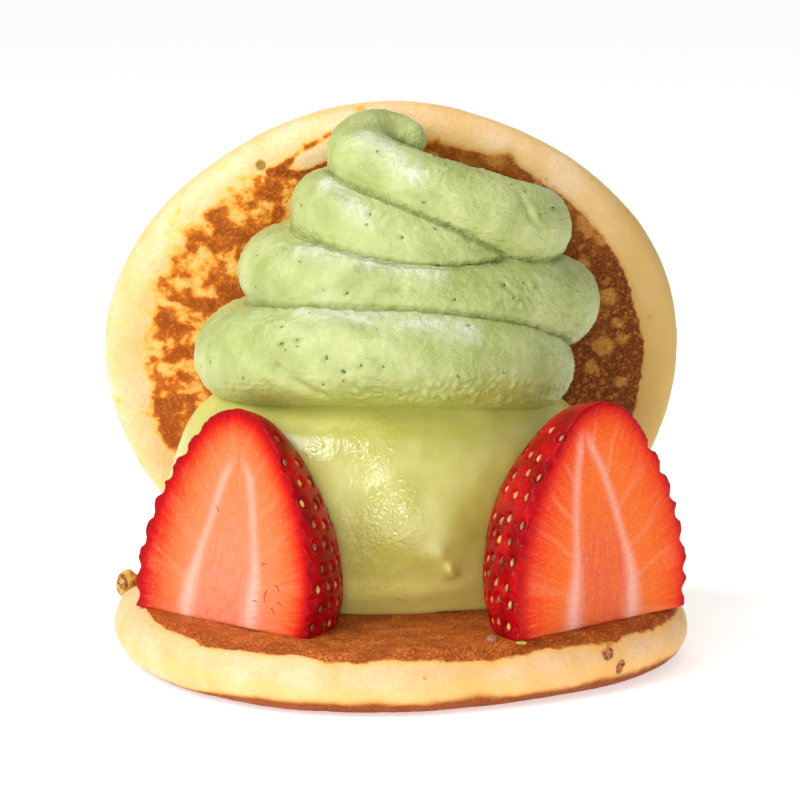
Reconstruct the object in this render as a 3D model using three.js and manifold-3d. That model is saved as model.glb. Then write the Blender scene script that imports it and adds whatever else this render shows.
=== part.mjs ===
// An open dorayaki: one pancake lies flat, a second stands on its edge behind it and leans forward over a
// mound of green tea custard, a piped swirl of green tea cream and the two halves of a strawberry.
//
// Millimetres. +Z is up, +X is to the right seen from the front and +Y runs towards the back. The origin is
// on the flat underside of the lower pancake, below the middle of the custard.

import * as THREE from "three";
import { mergeVertices } from "three/addons/utils/BufferGeometryUtils.js";
import Module from "manifold-3d";

const wasm = await Module();
wasm.setup();

// ---- driving dimensions -----------------------------------------------------------------------------

const GAP = 0.3; // kept between pieces that rest on or press into each other
const HALF_TURN = Math.PI;

// Both pancakes are the same batter and the same thickness, with a fully rounded rim.
const PANCAKE_THICKNESS = 9.5;
const PANCAKE_SIDES = 60;
const RIM_STEPS = 8;

// A pancake's outline is a circle with a few shallow lobes: each swells by so many millimetres, and its
// first crest is turned by so many radians from the pancake's own +X.
const LOWER_RADIUS = 44;
const LOWER_LOBES = [
  { lobes: 1, swell: 1.6, turn: 4.02 },
  { lobes: 3, swell: 0.9, turn: -0.33 },
  { lobes: 4, swell: 0.8, turn: -1.07 },
];
const UPPER_RADIUS = 45.8;
const UPPER_LOBES = [
  { lobes: 2, swell: 0.9, turn: 0.34 },
  { lobes: 3, swell: 0.5, turn: -1.57 },
  { lobes: 4, swell: 0.15, turn: 3.14 },
  { lobes: 5, swell: 0.4, turn: 2.04 },
];
const UPPER_LEAN = THREE.MathUtils.degToRad(22); // forward from upright
const UPPER_SIDE_SHIFT = -1.3;
const UPPER_FOOT_Y = 49.2; // where the middle of its rim meets the table
const UPPER_FOOT_LIFT = 0.05;

// A torn scrap of browned skin curls up from the left rim of the lower pancake.
const SCRAP_SIZE = new THREE.Vector3(1.2, 3, 3);
const SCRAP_PLACE = new THREE.Vector3(-42.6, 5, 9.8);

// The custard is a mound with a rounded shoulder and a steep front. It is deeper at the back, where the upper
// pancake rests on it. Its depths are shares of its half width.
const CUSTARD_PLACE = new THREE.Vector3(-2.4, 3, PANCAKE_THICKNESS + GAP);
const CUSTARD_HEIGHT = 37;
const CUSTARD_FRONT_DEPTH_LOW = 0.66;
const CUSTARD_FRONT_DEPTH_HIGH = 0.84;
const CUSTARD_BACK_DEPTH = 0.93;
const CUSTARD_SIDES = 48;
const CUSTARD_OUTLINE = [
  [31.5, 0],
  [34.6, 8],
  [33.6, 18],
  [29.5, 28],
  [20, 34.5],
];

// The cream is one plain rope, laid clockwise seen from above. It passes the right and the left side in
// turn, and these are its passes: place to the side and to the back, height and half thickness of the rope,
// and how far its middle swings back and arches up on the way to the next pass. The first pass, on the left,
// is buried in the pile, and the last is the tip.
const CREAM_PASSES = [
  { side: -15, back: 2, height: 42, half: 6.6, swing: 8, arch: 0 },
  { side: 19.4, back: -1, height: 45, half: 7.5, swing: -16.5, arch: 3.4 },
  { side: -24.6, back: 0, height: 46.5, half: 7.4, swing: 17, arch: 0 },
  { side: 23.8, back: 6, height: 54, half: 7.4, swing: -15, arch: -0.2 },
  { side: -18.6, back: 2, height: 59.5, half: 6.5, swing: 12.5, arch: 0 },
  { side: 14, back: 3, height: 61.2, half: 6.2, swing: -12, arch: 0 },
  { side: -11.2, back: 2, height: 69.3, half: 5.8, swing: 11.5, arch: 0 },
  { side: 20.2, back: 1, height: 66.4, half: 6.4, swing: -10, arch: 0.3 },
  { side: -6.4, back: 2, height: 77.6, half: 5, swing: 5, arch: 0.8 },
  { side: 2.6, back: 2.5, height: 78.8, half: 3.2, swing: 0, arch: 0 },
];
const CREAM_START = 0.4; // in half turns after the first pass
const CREAM_ROUND_END = 0.55; // half turns over which the tip closes
const CREAM_STEPS = 12; // along each half turn
const CREAM_SIDES = 12; // round the rope
const CORE_SLIM = 2; // the filling inside the rings stays this far inside the middle of the rope
const CORE_DEPTH = 0.7; // as a share of its half width
const CORE_BACK = 2;

// Strawberry half: an upright lengthwise half, its stem end cut off flat and its tip up.
const BERRY_OUTLINE = [
  [18.4, 0],
  [18.9, 6.5],
  [16.8, 15.5],
  [13.2, 22.8],
  [8.6, 29],
  [4.8, 32.5],
  [0, 34],
];
const BERRY_SIDES = 40;
const BERRY_RINGS = 13;
const BERRY_UNDERCUT = 4; // skin below the stem cut, before it is trimmed level

// Each half stands with its cut face turned outwards. Its width, thickness and height are shares of the
// outline's, and it leans back against the custard. Towards the tip it gets thicker by tipFullness.
const BERRIES = [
  {
    name: "strawberry_half_left",
    x: -27.3,
    y: -23.4,
    turn: THREE.MathUtils.degToRad(-41),
    lean: THREE.MathUtils.degToRad(8),
    share: new THREE.Vector3(0.96, 0.97, 0.95),
    tipFullness: 1.05,
  },
  {
    name: "strawberry_half_right",
    x: 30.6,
    y: -23.9,
    turn: THREE.MathUtils.degToRad(43),
    lean: THREE.MathUtils.degToRad(1),
    share: new THREE.Vector3(0.98, 0.86, 0.99),
    tipFullness: 1.48,
  },
];
const SEED_SIZE = new THREE.Vector3(0.75, 0.5, 1.1); // across, out of the skin and along the berry
const SEED_SPACING = 4.9;
const SEED_FACE_MARGIN = 0.2; // radians kept free beside the cut face
const SEED_TIP_MARGIN = 4; // kept free below the tip
const SEED_JITTER = 0.22; // as a share of the spacing

// ---- helpers ----------------------------------------------------------------------------------------

// Gives a closed copy of a geometry: shared vertices merged and collapsed triangles left out.
function closed(geometry) {
  const bare = geometry.clone();
  bare.deleteAttribute("normal");
  bare.deleteAttribute("uv");
  const merged = mergeVertices(bare, 1e-4);
  const index = merged.index.array;
  const kept = [];
  for (let i = 0; i < index.length; i += 3) {
    const [a, b, c] = index.subarray(i, i + 3);
    if (a !== b && b !== c && c !== a) kept.push(a, b, c);
  }
  merged.setIndex(kept);
  return merged;
}

function solidOf(geometry) {
  const shape = closed(geometry);
  const vertProperties = new Float32Array(shape.attributes.position.array);
  const triVerts = new Uint32Array(shape.index.array);
  return new wasm.Manifold(new wasm.Mesh({ numProp: 3, vertProperties, triVerts }));
}

function geometryOf(solid) {
  const mesh = solid.getMesh();
  const geometry = new THREE.BufferGeometry();
  geometry.setAttribute("position", new THREE.BufferAttribute(new Float32Array(mesh.vertProperties), 3));
  geometry.setIndex([...mesh.triVerts]);
  geometry.computeVertexNormals();
  return geometry;
}

// The outer shell alone, so that a joined piece keeps no pinhole inside it.
function filled(solid) {
  const [outer] = solid.decompose().sort((one, other) => other.volume() - one.volume());
  return outer;
}

// Moves every vertex to the place that move(vertex) gives it.
function reshape(geometry, move) {
  const position = geometry.attributes.position;
  const vertex = new THREE.Vector3();
  for (let i = 0; i < position.count; i += 1) {
    vertex.fromBufferAttribute(position, i);
    const moved = move(vertex);
    position.setXYZ(i, moved.x, moved.y, moved.z);
  }
  return geometry;
}

// Turns a profile, [radius, height] from the bottom up, about the Z axis.
function turned(profile, sides) {
  const points = profile.map(([radius, height]) => new THREE.Vector2(radius, height));
  return new THREE.LatheGeometry(points, sides).rotateX(Math.PI / 2);
}

// A smooth run of [radius, height] through the given ones.
function smoothOutline(outline, steps) {
  const curve = new THREE.SplineCurve(outline.map(([radius, height]) => new THREE.Vector2(radius, height)));
  return curve.getPoints(steps).map((point) => [Math.max(point.x, 0), point.y]);
}

function slabAbove(height) {
  const size = 400;
  return solidOf(new THREE.BoxGeometry(size, size, size).translate(0, 0, height + size / 2));
}

// The same draw between -1 and 1 for the same two whole numbers.
function draw(row, place) {
  const wave = Math.sin(row * 127.1 + place * 311.7) * 43758.5453;
  return 2 * (wave - Math.floor(wave)) - 1;
}

// ---- pancakes ---------------------------------------------------------------------------------------

function lobedRadius(radius, lobes, angle) {
  return lobes.reduce((sum, wave) => sum + wave.swell * Math.cos(wave.lobes * angle - wave.turn), radius);
}

// A pancake lying on z = 0, or the same one grown all round, to cut its neighbours clear of it.
function pancake(radius, lobes, grow = 0) {
  const rim = PANCAKE_THICKNESS / 2;
  const profile = [[0, -grow]];
  for (let step = 0; step <= RIM_STEPS; step += 1) {
    const angle = -Math.PI / 2 + (HALF_TURN * step) / RIM_STEPS;
    const reach = radius - rim + (rim + grow) * Math.cos(angle);
    profile.push([reach, rim + (rim + grow) * Math.sin(angle)]);
  }
  profile.push([0, PANCAKE_THICKNESS + grow]);
  return reshape(turned(profile, PANCAKE_SIDES), (vertex) => {
    const flat = Math.hypot(vertex.x, vertex.y);
    const share = lobedRadius(radius, lobes, Math.atan2(vertex.y, vertex.x)) / radius;
    const scale = THREE.MathUtils.lerp(1, share, Math.min(flat / radius, 1));
    return vertex.set(vertex.x * scale, vertex.y * scale, vertex.z);
  });
}

// Stands a pancake on the table behind the lower one, its shown face forward and down.
function leanUpper(geometry) {
  const rim = PANCAKE_THICKNESS / 2;
  const reach = lobedRadius(UPPER_RADIUS, UPPER_LOBES, -Math.PI / 2) - rim;
  const height = reach * Math.cos(UPPER_LEAN) + rim + UPPER_FOOT_LIFT;
  return geometry
    .translate(0, 0, -rim)
    .rotateX(Math.PI / 2 + UPPER_LEAN)
    .translate(UPPER_SIDE_SHIFT, UPPER_FOOT_Y - reach * Math.sin(UPPER_LEAN), height);
}

function lowerPancake() {
  const scrap = new THREE.SphereGeometry(1, 8, 6).scale(SCRAP_SIZE.x, SCRAP_SIZE.y, SCRAP_SIZE.z);
  scrap.translate(SCRAP_PLACE.x, SCRAP_PLACE.y, SCRAP_PLACE.z);
  return solidOf(pancake(LOWER_RADIUS, LOWER_LOBES)).add(solidOf(scrap));
}

function upperPancake(grow = 0) {
  return solidOf(leanUpper(pancake(UPPER_RADIUS, UPPER_LOBES, grow)));
}

// ---- custard ----------------------------------------------------------------------------------------

function custardMound(grow = 0) {
  const side = smoothOutline(CUSTARD_OUTLINE, 9).map(([radius, height]) => [radius + grow, height + grow]);
  const profile = [[0, -grow], [side[0][0], -grow], ...side, [0, CUSTARD_HEIGHT + grow]];
  const mound = reshape(turned(profile, CUSTARD_SIDES), (vertex) => {
    const rise = THREE.MathUtils.clamp(vertex.z / CUSTARD_HEIGHT, 0, 1);
    const front = THREE.MathUtils.lerp(CUSTARD_FRONT_DEPTH_LOW, CUSTARD_FRONT_DEPTH_HIGH, rise);
    return vertex.set(vertex.x, vertex.y * (vertex.y > 0 ? CUSTARD_BACK_DEPTH : front), vertex.z);
  });
  return mound.translate(CUSTARD_PLACE.x, CUSTARD_PLACE.y, CUSTARD_PLACE.z);
}

// ---- cream ------------------------------------------------------------------------------------------

const ropeHeight = new THREE.SplineCurve(CREAM_PASSES.map(({ height }, pass) => new THREE.Vector2(pass, height)));

// The two passes on either side of a place along the rope, counted in half turns.
function passesAt(turn) {
  const first = THREE.MathUtils.clamp(Math.floor(turn), 0, CREAM_PASSES.length - 2);
  return { from: CREAM_PASSES[first], to: CREAM_PASSES[first + 1], part: turn - first };
}

function ropeMiddle(turn) {
  const { from, to, part } = passesAt(turn);
  const swing = Math.sin(HALF_TURN * part);
  return new THREE.Vector3(
    THREE.MathUtils.lerp(from.side, to.side, (1 - Math.cos(HALF_TURN * part)) / 2),
    THREE.MathUtils.lerp(from.back, to.back, part) + from.swing * swing,
    ropeHeight.getPoint(turn / (CREAM_PASSES.length - 1)).y + from.arch * swing,
  );
}

function ropeHalfThickness(turn) {
  const { from, to, part } = passesAt(turn);
  const last = CREAM_PASSES.length - 1;
  const closing = THREE.MathUtils.clamp((turn - last + CREAM_ROUND_END) / CREAM_ROUND_END, 0, 1);
  return THREE.MathUtils.lerp(from.half, to.half, part) * Math.sqrt(1 - closing ** 2);
}

// One stretch of the rope: an upright cylinder whose rings are set along the rope's middle line.
function ropeStretch(start, end) {
  const steps = Math.max(Math.round((end - start) * CREAM_STEPS), 1);
  const stretch = new THREE.CylinderGeometry(1, 1, 1, CREAM_SIDES, steps);
  const up = new THREE.Vector3(0, 0, 1);
  return reshape(stretch, (vertex) => {
    const turn = THREE.MathUtils.lerp(start, end, 0.5 - vertex.y);
    const ahead = ropeMiddle(turn + 0.04).sub(ropeMiddle(turn - 0.04)).normalize();
    const across = new THREE.Vector3().crossVectors(ahead, up).normalize();
    const over = new THREE.Vector3().crossVectors(across, ahead);
    const half = ropeHalfThickness(turn);
    return ropeMiddle(turn).addScaledVector(across, -vertex.x * half).addScaledVector(over, vertex.z * half);
  });
}

// Fills the inside of the rings, between neighbouring middle lines of the rope.
function creamCore() {
  const profile = [];
  for (let pass = 1; pass < CREAM_PASSES.length - 2; pass += 1) {
    const here = CREAM_PASSES[pass];
    const next = CREAM_PASSES[pass + 1];
    profile.push([Math.abs(next.side - here.side) / 2 - CORE_SLIM, (here.height + next.height) / 2]);
  }
  profile.sort((low, high) => low[1] - high[1]);
  const top = profile[profile.length - 1][1];
  const cone = turned([[0, CREAM_PASSES[0].height], ...profile, [0, top + 1]], 24);
  return cone.scale(1, CORE_DEPTH, 1).translate(0, CORE_BACK, 0);
}

function creamSwirl() {
  const last = CREAM_PASSES.length - 1;
  let swirl = solidOf(creamCore());
  for (let start = CREAM_START; start < last; start = Math.floor(start) + 1) {
    swirl = swirl.add(solidOf(ropeStretch(start, Math.floor(start) + 1)));
  }
  return swirl;
}

// ---- strawberry -------------------------------------------------------------------------------------

// Half width of the berry at a height above its stem cut.
function berryHalfWidth(height) {
  const outline = smoothOutline(BERRY_OUTLINE, 60);
  const above = outline.findIndex(([, level]) => level > height);
  const [wideLow, low] = outline[Math.max(above - 1, 0)];
  const [wideHigh, high] = outline[Math.max(above, 1)];
  return THREE.MathUtils.mapLinear(height, low, high, wideLow, wideHigh);
}

function berrySkin(grow) {
  const side = smoothOutline(BERRY_OUTLINE, BERRY_RINGS).map(([radius, height]) => [radius + grow, height]);
  side[side.length - 1] = [0, BERRY_OUTLINE[BERRY_OUTLINE.length - 1][1] + grow];
  const profile = [[0, -BERRY_UNDERCUT], [side[0][0] - 1, -BERRY_UNDERCUT], ...side];
  return turned(profile, BERRY_SIDES);
}

// The places of the seeds on the skin: staggered rows, each seed nudged a little.
function seedPlaces() {
  const places = [];
  const tip = BERRY_OUTLINE[BERRY_OUTLINE.length - 1][1];
  const rows = Math.floor((tip - SEED_TIP_MARGIN) / SEED_SPACING);
  for (let row = 0; row < rows; row += 1) {
    const height = SEED_SPACING * (row + 0.75);
    const count = Math.max(Math.round((Math.PI * berryHalfWidth(height)) / SEED_SPACING), 2);
    for (let place = 0; place < count; place += 1) {
      const stagger = row % 2 === 0 ? 0.3 : 0.7;
      const spread = (place + stagger + SEED_JITTER * draw(row, place)) / count;
      const angle = THREE.MathUtils.lerp(SEED_FACE_MARGIN, Math.PI - SEED_FACE_MARGIN, spread);
      places.push({ height: height + SEED_JITTER * SEED_SPACING * draw(place, row + 9), angle });
    }
  }
  return places;
}

function seed({ height, angle }) {
  const half = berryHalfWidth(height);
  const slope = Math.atan2(half - berryHalfWidth(height + 1), 1);
  return new THREE.IcosahedronGeometry(1, 0)
    .scale(SEED_SIZE.x, SEED_SIZE.y, SEED_SIZE.z)
    .rotateX(slope)
    .rotateZ(angle - Math.PI / 2)
    .translate(half * Math.cos(angle), half * Math.sin(angle), height);
}

function place(geometry, berry) {
  const tip = BERRY_OUTLINE[BERRY_OUTLINE.length - 1][1];
  const fuller = reshape(geometry, (vertex) => {
    const rise = THREE.MathUtils.clamp(vertex.z / tip, 0, 1);
    return vertex.setY(vertex.y * THREE.MathUtils.lerp(1, berry.tipFullness, rise));
  });
  return fuller
    .scale(berry.share.x, berry.share.y, berry.share.z)
    .rotateX(-berry.lean)
    .rotateZ(berry.turn)
    .translate(berry.x, berry.y, PANCAKE_THICKNESS + GAP);
}

// The half berry with its seeds, or a smooth grown one that clears room for it.
function berryHalf(berry, grow = 0) {
  const behindFace = new THREE.BoxGeometry(100, 100, 100).translate(0, 50 - grow, 0);
  let half = solidOf(place(berrySkin(grow), berry)).intersect(solidOf(place(behindFace, berry)));
  const seeds = grow > 0 ? [] : seedPlaces();
  for (const spot of seeds) half = half.add(solidOf(place(seed(spot), berry)));
  return half.intersect(slabAbove(PANCAKE_THICKNESS + GAP - grow));
}

// ---- the dorayaki -----------------------------------------------------------------------------------

function paint(color, roughness) {
  return new THREE.MeshStandardMaterial({ color, roughness, metalness: 0 });
}

const sponge = paint(0xf6dc9f, 0.85);
const brownedSponge = paint(0xb0692a, 0.75);
const custardPaint = paint(0xc3bd62, 0.3);
const creamPaint = paint(0xcdd98f, 0.7);
const berryPaint = paint(0xd2281e, 0.35);

const custardRoom = solidOf(custardMound(GAP));
const upperRoom = upperPancake(GAP);
const berryRoom = BERRIES.map((berry) => berryHalf(berry, SEED_SIZE.y + GAP));

let custard = solidOf(custardMound()).subtract(upperRoom);
for (const room of berryRoom) custard = custard.subtract(room);
const cream = filled(creamSwirl().subtract(upperRoom).subtract(custardRoom));

const group = new THREE.Group();

function addPiece(name, solid, material) {
  const mesh = new THREE.Mesh(geometryOf(solid), material);
  mesh.name = name;
  group.add(mesh);
}

addPiece("pancake_lower", lowerPancake(), sponge);
addPiece("pancake_upper", upperPancake(), brownedSponge);
addPiece("custard", custard, custardPaint);
addPiece("cream_swirl", cream, creamPaint);
for (const berry of BERRIES) addPiece(berry.name, berryHalf(berry), berryPaint);

export default group;
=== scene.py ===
# %% [markdown]
# # An open dorayaki
# One pancake lies flat and a second leans over it. Between them sit a mound of green tea custard, a piped
# swirl of green tea cream and the two halves of a strawberry. The solids of the real thing come in first, as
# a frame that fixes every size and place. Each piece is then modelled again with its fine surface.

# %% The frame
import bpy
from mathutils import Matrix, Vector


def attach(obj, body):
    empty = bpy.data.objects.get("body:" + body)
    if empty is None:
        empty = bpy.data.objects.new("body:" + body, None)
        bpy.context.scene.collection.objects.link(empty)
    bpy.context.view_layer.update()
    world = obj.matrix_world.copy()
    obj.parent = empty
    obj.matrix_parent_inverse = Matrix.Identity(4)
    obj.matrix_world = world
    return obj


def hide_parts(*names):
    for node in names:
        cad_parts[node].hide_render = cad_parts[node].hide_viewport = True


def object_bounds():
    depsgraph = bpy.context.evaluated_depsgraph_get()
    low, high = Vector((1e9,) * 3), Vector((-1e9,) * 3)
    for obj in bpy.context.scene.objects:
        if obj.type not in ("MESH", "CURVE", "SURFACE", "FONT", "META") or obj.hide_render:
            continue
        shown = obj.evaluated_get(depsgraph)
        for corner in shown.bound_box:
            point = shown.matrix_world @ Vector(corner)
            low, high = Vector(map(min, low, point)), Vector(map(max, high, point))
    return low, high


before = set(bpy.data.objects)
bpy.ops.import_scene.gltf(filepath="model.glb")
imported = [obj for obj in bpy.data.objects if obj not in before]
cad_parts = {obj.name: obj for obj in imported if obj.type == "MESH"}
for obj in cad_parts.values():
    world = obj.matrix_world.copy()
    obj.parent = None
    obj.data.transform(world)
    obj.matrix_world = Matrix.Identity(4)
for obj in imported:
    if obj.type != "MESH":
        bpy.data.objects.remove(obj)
cad_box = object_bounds()
print("solids in the frame:", sorted(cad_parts))

# %% [markdown]
# ## Units and the first helpers
# Blender counts in metres, and food is easier to think of in millimetres, so sizes below are in millimetres
# and are scaled as they are used. Nearly every operator acts on what is selected, so the first helper leaves
# one piece selected. The next ones add a modifier and apply it at once, and write a piece's place into its
# mesh, so that every finished piece sits at the origin, unturned and unscaled.

# %% Units and helpers
import math

import bpy
from mathutils import Matrix, Vector, kdtree, noise

MM = 0.001


def mm(*lengths):
    return Vector(lengths) * MM


def pick(piece):
    """Leaves this piece selected and active, and nothing else."""
    bpy.ops.object.select_all(action="DESELECT")
    piece.select_set(True)
    bpy.context.view_layer.objects.active = piece


def named(name):
    """Names the piece that an operator has just made."""
    piece = bpy.context.object
    piece.name = name
    piece.data.name = name
    return piece


def apply_modifier(piece, kind, **settings):
    pick(piece)
    modifier = piece.modifiers.new(kind.title(), kind)
    for setting, value in settings.items():
        setattr(modifier, setting, value)
    bpy.ops.object.modifier_apply(modifier=modifier.name)


def settle(piece, location=(0, 0, 0), rotation=(0, 0, 0), scale=(1, 1, 1)):
    """Moves a piece to its place and writes the place into its mesh."""
    piece.location = location
    piece.rotation_euler = rotation
    piece.scale = scale
    pick(piece)
    bpy.ops.object.transform_apply(location=True, rotation=True, scale=True)


# %% [markdown]
# ## Camera
# The eye is a little above the table and straight in front, far enough away for a long lens.

# %% Camera
CAMERA_DISTANCE = 650
CAMERA_RISE = math.radians(10)
CAMERA_AIM = mm(0, 0, 39.4)
LENS = 188.8

eye = CAMERA_AIM + mm(0, -math.cos(CAMERA_RISE), math.sin(CAMERA_RISE)) * CAMERA_DISTANCE
bpy.ops.object.camera_add(location=eye, rotation=(math.pi / 2 - CAMERA_RISE, 0, 0))
camera = bpy.context.object
camera.data.lens = LENS
camera.data.sensor_width = 36
camera.data.clip_start = 0.01
bpy.context.scene.camera = camera
print("camera at", [round(value, 4) for value in eye])

# %% [markdown]
# ## Floor and light
# A pale table and a white room give the even light of a studio. One large soft lamp stands far to the left,
# in front and above, on the side where the cream is brightest. A small weak one low in front puts the wet
# shine on the custard, and one overhead to the left lights the tops of the turns of the cream, whose pale
# sheen is also painted.

# %% Floor and light
FLOOR_SIZE = 6000
KEY_LAMP = {"place": mm(-430, -370, 430), "width": 340 * MM, "power": 2.4}
FRONT_LAMP = {"place": mm(-30, -600, 80), "width": 210 * MM, "power": 0.85}
TOP_LAMP = {"place": mm(-220, 20, 560), "width": 260 * MM, "power": 1.15}
ROOM_LIGHT = 0.44
FLOOR_GLOW = 0.52


def add_lamp(place, width, power):
    bpy.ops.object.light_add(type="AREA", location=place)
    lamp = bpy.context.object
    lamp.data.size = width
    lamp.data.energy = power
    lamp.rotation_euler = (CAMERA_AIM - place).to_track_quat("-Z", "Y").to_euler()


add_lamp(**KEY_LAMP)
add_lamp(**FRONT_LAMP)
add_lamp(**TOP_LAMP)

bpy.ops.object.select_all(action="DESELECT")
bpy.ops.mesh.primitive_plane_add(size=FLOOR_SIZE * MM)
floor = named("floor")

room = bpy.data.worlds.new("room")
bpy.context.scene.world = room
room.use_nodes = True
room.node_tree.nodes["Background"].inputs["Color"].default_value = (1, 1, 1, 1)
room.node_tree.nodes["Background"].inputs["Strength"].default_value = ROOM_LIGHT
bpy.context.scene.view_settings.view_transform = "Standard"
print("three lamps and a white room")

# %% [markdown]
# ## Node helpers
# A material is a small graph. These helpers add one node, fill its inputs with numbers or with other nodes'
# outputs, and give back its output, so that a graph reads like a formula. They serve a shader node group too.

# %% Node helpers


def srgb(red, green, blue):
    """A colour as a screen shows it, from 0 to 255, made linear for a node."""
    parts = [value / 255 for value in (red, green, blue)]
    linear = [part / 12.92 if part < 0.04045 else ((part + 0.055) / 1.055) ** 2.4 for part in parts]
    return (*linear, 1)


def fill(tree, socket, value):
    if isinstance(value, bpy.types.NodeSocket):
        tree.links.new(value, socket)
    else:
        socket.default_value = value


def node(tree, kind, inputs, output=0, **settings):
    """Adds a node, sets it up, fills its inputs and gives one of its outputs."""
    made = tree.nodes.new("ShaderNode" + kind)
    for setting, value in settings.items():
        setattr(made, setting, value)
    for socket, value in inputs.items():
        fill(tree, made.inputs[socket], value)
    return made.outputs[output]


def calc(tree, operation, *values):
    return node(tree, "Math", dict(enumerate(values)), operation=operation)


def product(tree, *masks):
    result = masks[0]
    for mask in masks[1:]:
        result = calc(tree, "MULTIPLY", result, mask)
    return result


def strongest(tree, masks):
    """The strongest of several masks at each place."""
    result = 0.0
    for mask in masks:
        result = calc(tree, "MAXIMUM", result, mask)
    return result


def rise(tree, value, low, high, bottom=0.0, top=1.0):
    """Goes smoothly from bottom to top as the value goes from low to high."""
    inputs = {"Value": value, "From Min": low, "From Max": high, "To Min": bottom, "To Max": top}
    return node(tree, "MapRange", inputs, interpolation_type="SMOOTHSTEP")


def mix(tree, factor, first, second, blend="MIX"):
    """Gives the first colour at 0 and the second at 1."""
    return node(tree, "Mix", {0: factor, 6: first, 7: second}, 2, data_type="RGBA", blend_type=blend)


def layered(tree, colour, layers):
    """Lays further colours on a first one. A layer is how much of it shows and its colour."""
    for share, tone in layers:
        colour = mix(tree, share, colour, tone)
    return colour


def ramp(tree, value, stops):
    """Blends from colour to colour as the value passes each stop."""
    made = tree.nodes.new("ShaderNodeValToRGB")
    fill(tree, made.inputs["Fac"], value)
    elements = made.color_ramp.elements
    for number, (level, colour) in enumerate(stops):
        element = elements[number] if number < 2 else elements.new(level)
        element.position = level
        element.color = colour
    return made.outputs["Color"]


def piece_place(tree, middle=(0, 0, 0), turn=(0, 0, 0)):
    """The place on a piece in millimetres, in a frame of its own."""
    objects = tree.nodes.new("ShaderNodeTexCoord").outputs["Object"]
    inputs = {"Vector": objects, "Location": mm(*middle), "Rotation": turn, "Scale": mm(1, 1, 1)}
    return node(tree, "Mapping", inputs, vector_type="TEXTURE")


def axes(tree, place):
    parts = tree.nodes.new("ShaderNodeSeparateXYZ")
    tree.links.new(place, parts.inputs[0])
    return parts.outputs


def clouds(tree, place, size, detail=2.0, distortion=0.0):
    """Soft noise from 0 to 1, its blotches about so many millimetres wide."""
    inputs = {"Vector": place, "Scale": 1 / size, "Detail": detail, "Distortion": distortion}
    return node(tree, "TexNoise", inputs)


def bent(tree, place, size, push, start=None):
    """The place, or another start, pushed about by noise, so that round spots aren't quite round."""
    draws = node(tree, "TexNoise", {"Vector": place, "Scale": 1 / size, "Detail": 2.0}, "Color")
    centred = node(tree, "VectorMath", {0: draws, 1: (0.5, 0.5, 0.5)}, operation="SUBTRACT")
    pushed = node(tree, "VectorMath", {0: centred, "Scale": push}, operation="SCALE")
    return node(tree, "VectorMath", {0: start or place, 1: pushed}, operation="ADD")


def marked(tree, name):
    """The three numbers that a piece stores on its vertices under this name."""
    return axes(tree, node(tree, "Attribute", {}, "Vector", attribute_name=name))


print("node helpers ready")

# %% [markdown]
# ## Effects that several materials share
# Batter, cream and custard are all full of tiny air bubbles, and every one of these surfaces has a fine
# grain. Each effect is a node group, built once, with its sizes as inputs. A group puts out only masks and
# heights. The shader stays in the material.

# %% Pores and grain as node groups


def make_group(name, inputs, outputs):
    tree = bpy.data.node_groups.new(name, "ShaderNodeTree")
    for socket, kind in inputs.items():
        tree.interface.new_socket(socket, in_out="INPUT", socket_type="NodeSocket" + kind)
    for socket, kind in outputs.items():
        tree.interface.new_socket(socket, in_out="OUTPUT", socket_type="NodeSocket" + kind)
    return tree, tree.nodes.new("NodeGroupInput").outputs, tree.nodes.new("NodeGroupOutput").inputs


def use(tree, group, **inputs):
    """Places a group in a tree and gives its outputs."""
    made = tree.nodes.new("ShaderNodeGroup")
    made.node_tree = group
    for socket, value in inputs.items():
        fill(tree, made.inputs[socket], value)
    return made.outputs


def make_pores():
    """Round pores in a share of the cells, each of its own width."""
    inputs = {"Place": "Vector", "Spacing": "Float", "Width": "Float", "Share": "Float"}
    tree, given, result = make_group("pores", inputs, {"Mask": "Float"})
    per_mm = calc(tree, "DIVIDE", 1.0, given["Spacing"])
    settings = {"Vector": given["Place"], "Scale": per_mm}
    cell = tree.nodes.new("ShaderNodeTexVoronoi")
    for socket, value in settings.items():
        fill(tree, cell.inputs[socket], value)
    draw = axes(tree, cell.outputs["Color"])
    reach = calc(tree, "DIVIDE", given["Width"], given["Spacing"])
    reach = calc(tree, "MULTIPLY", reach, calc(tree, "MULTIPLY_ADD", draw[1], 0.5, 0.25))
    depth = calc(tree, "DIVIDE", cell.outputs["Distance"], reach)
    hole = rise(tree, depth, 0.6, 1.0, 1.0, 0.0)
    chosen = calc(tree, "LESS_THAN", draw[0], given["Share"])
    fill(tree, result["Mask"], calc(tree, "MULTIPLY", hole, chosen))
    return tree


def make_grain():
    """Fine grain in two sizes, from 0 to 1."""
    tree, given, result = make_group("grain", {"Place": "Vector", "Size": "Float"}, {"Height": "Float"})
    per_mm = calc(tree, "DIVIDE", 1.0, given["Size"])
    coarse = node(tree, "TexNoise", {"Vector": given["Place"], "Scale": per_mm, "Detail": 3.0})
    finer = calc(tree, "MULTIPLY", per_mm, 3.1)
    fine = node(tree, "TexNoise", {"Vector": given["Place"], "Scale": finer, "Detail": 1.0})
    fill(tree, result["Height"], calc(tree, "MULTIPLY_ADD", calc(tree, "SUBTRACT", fine, 0.5), 0.5, coarse))
    return tree


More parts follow.
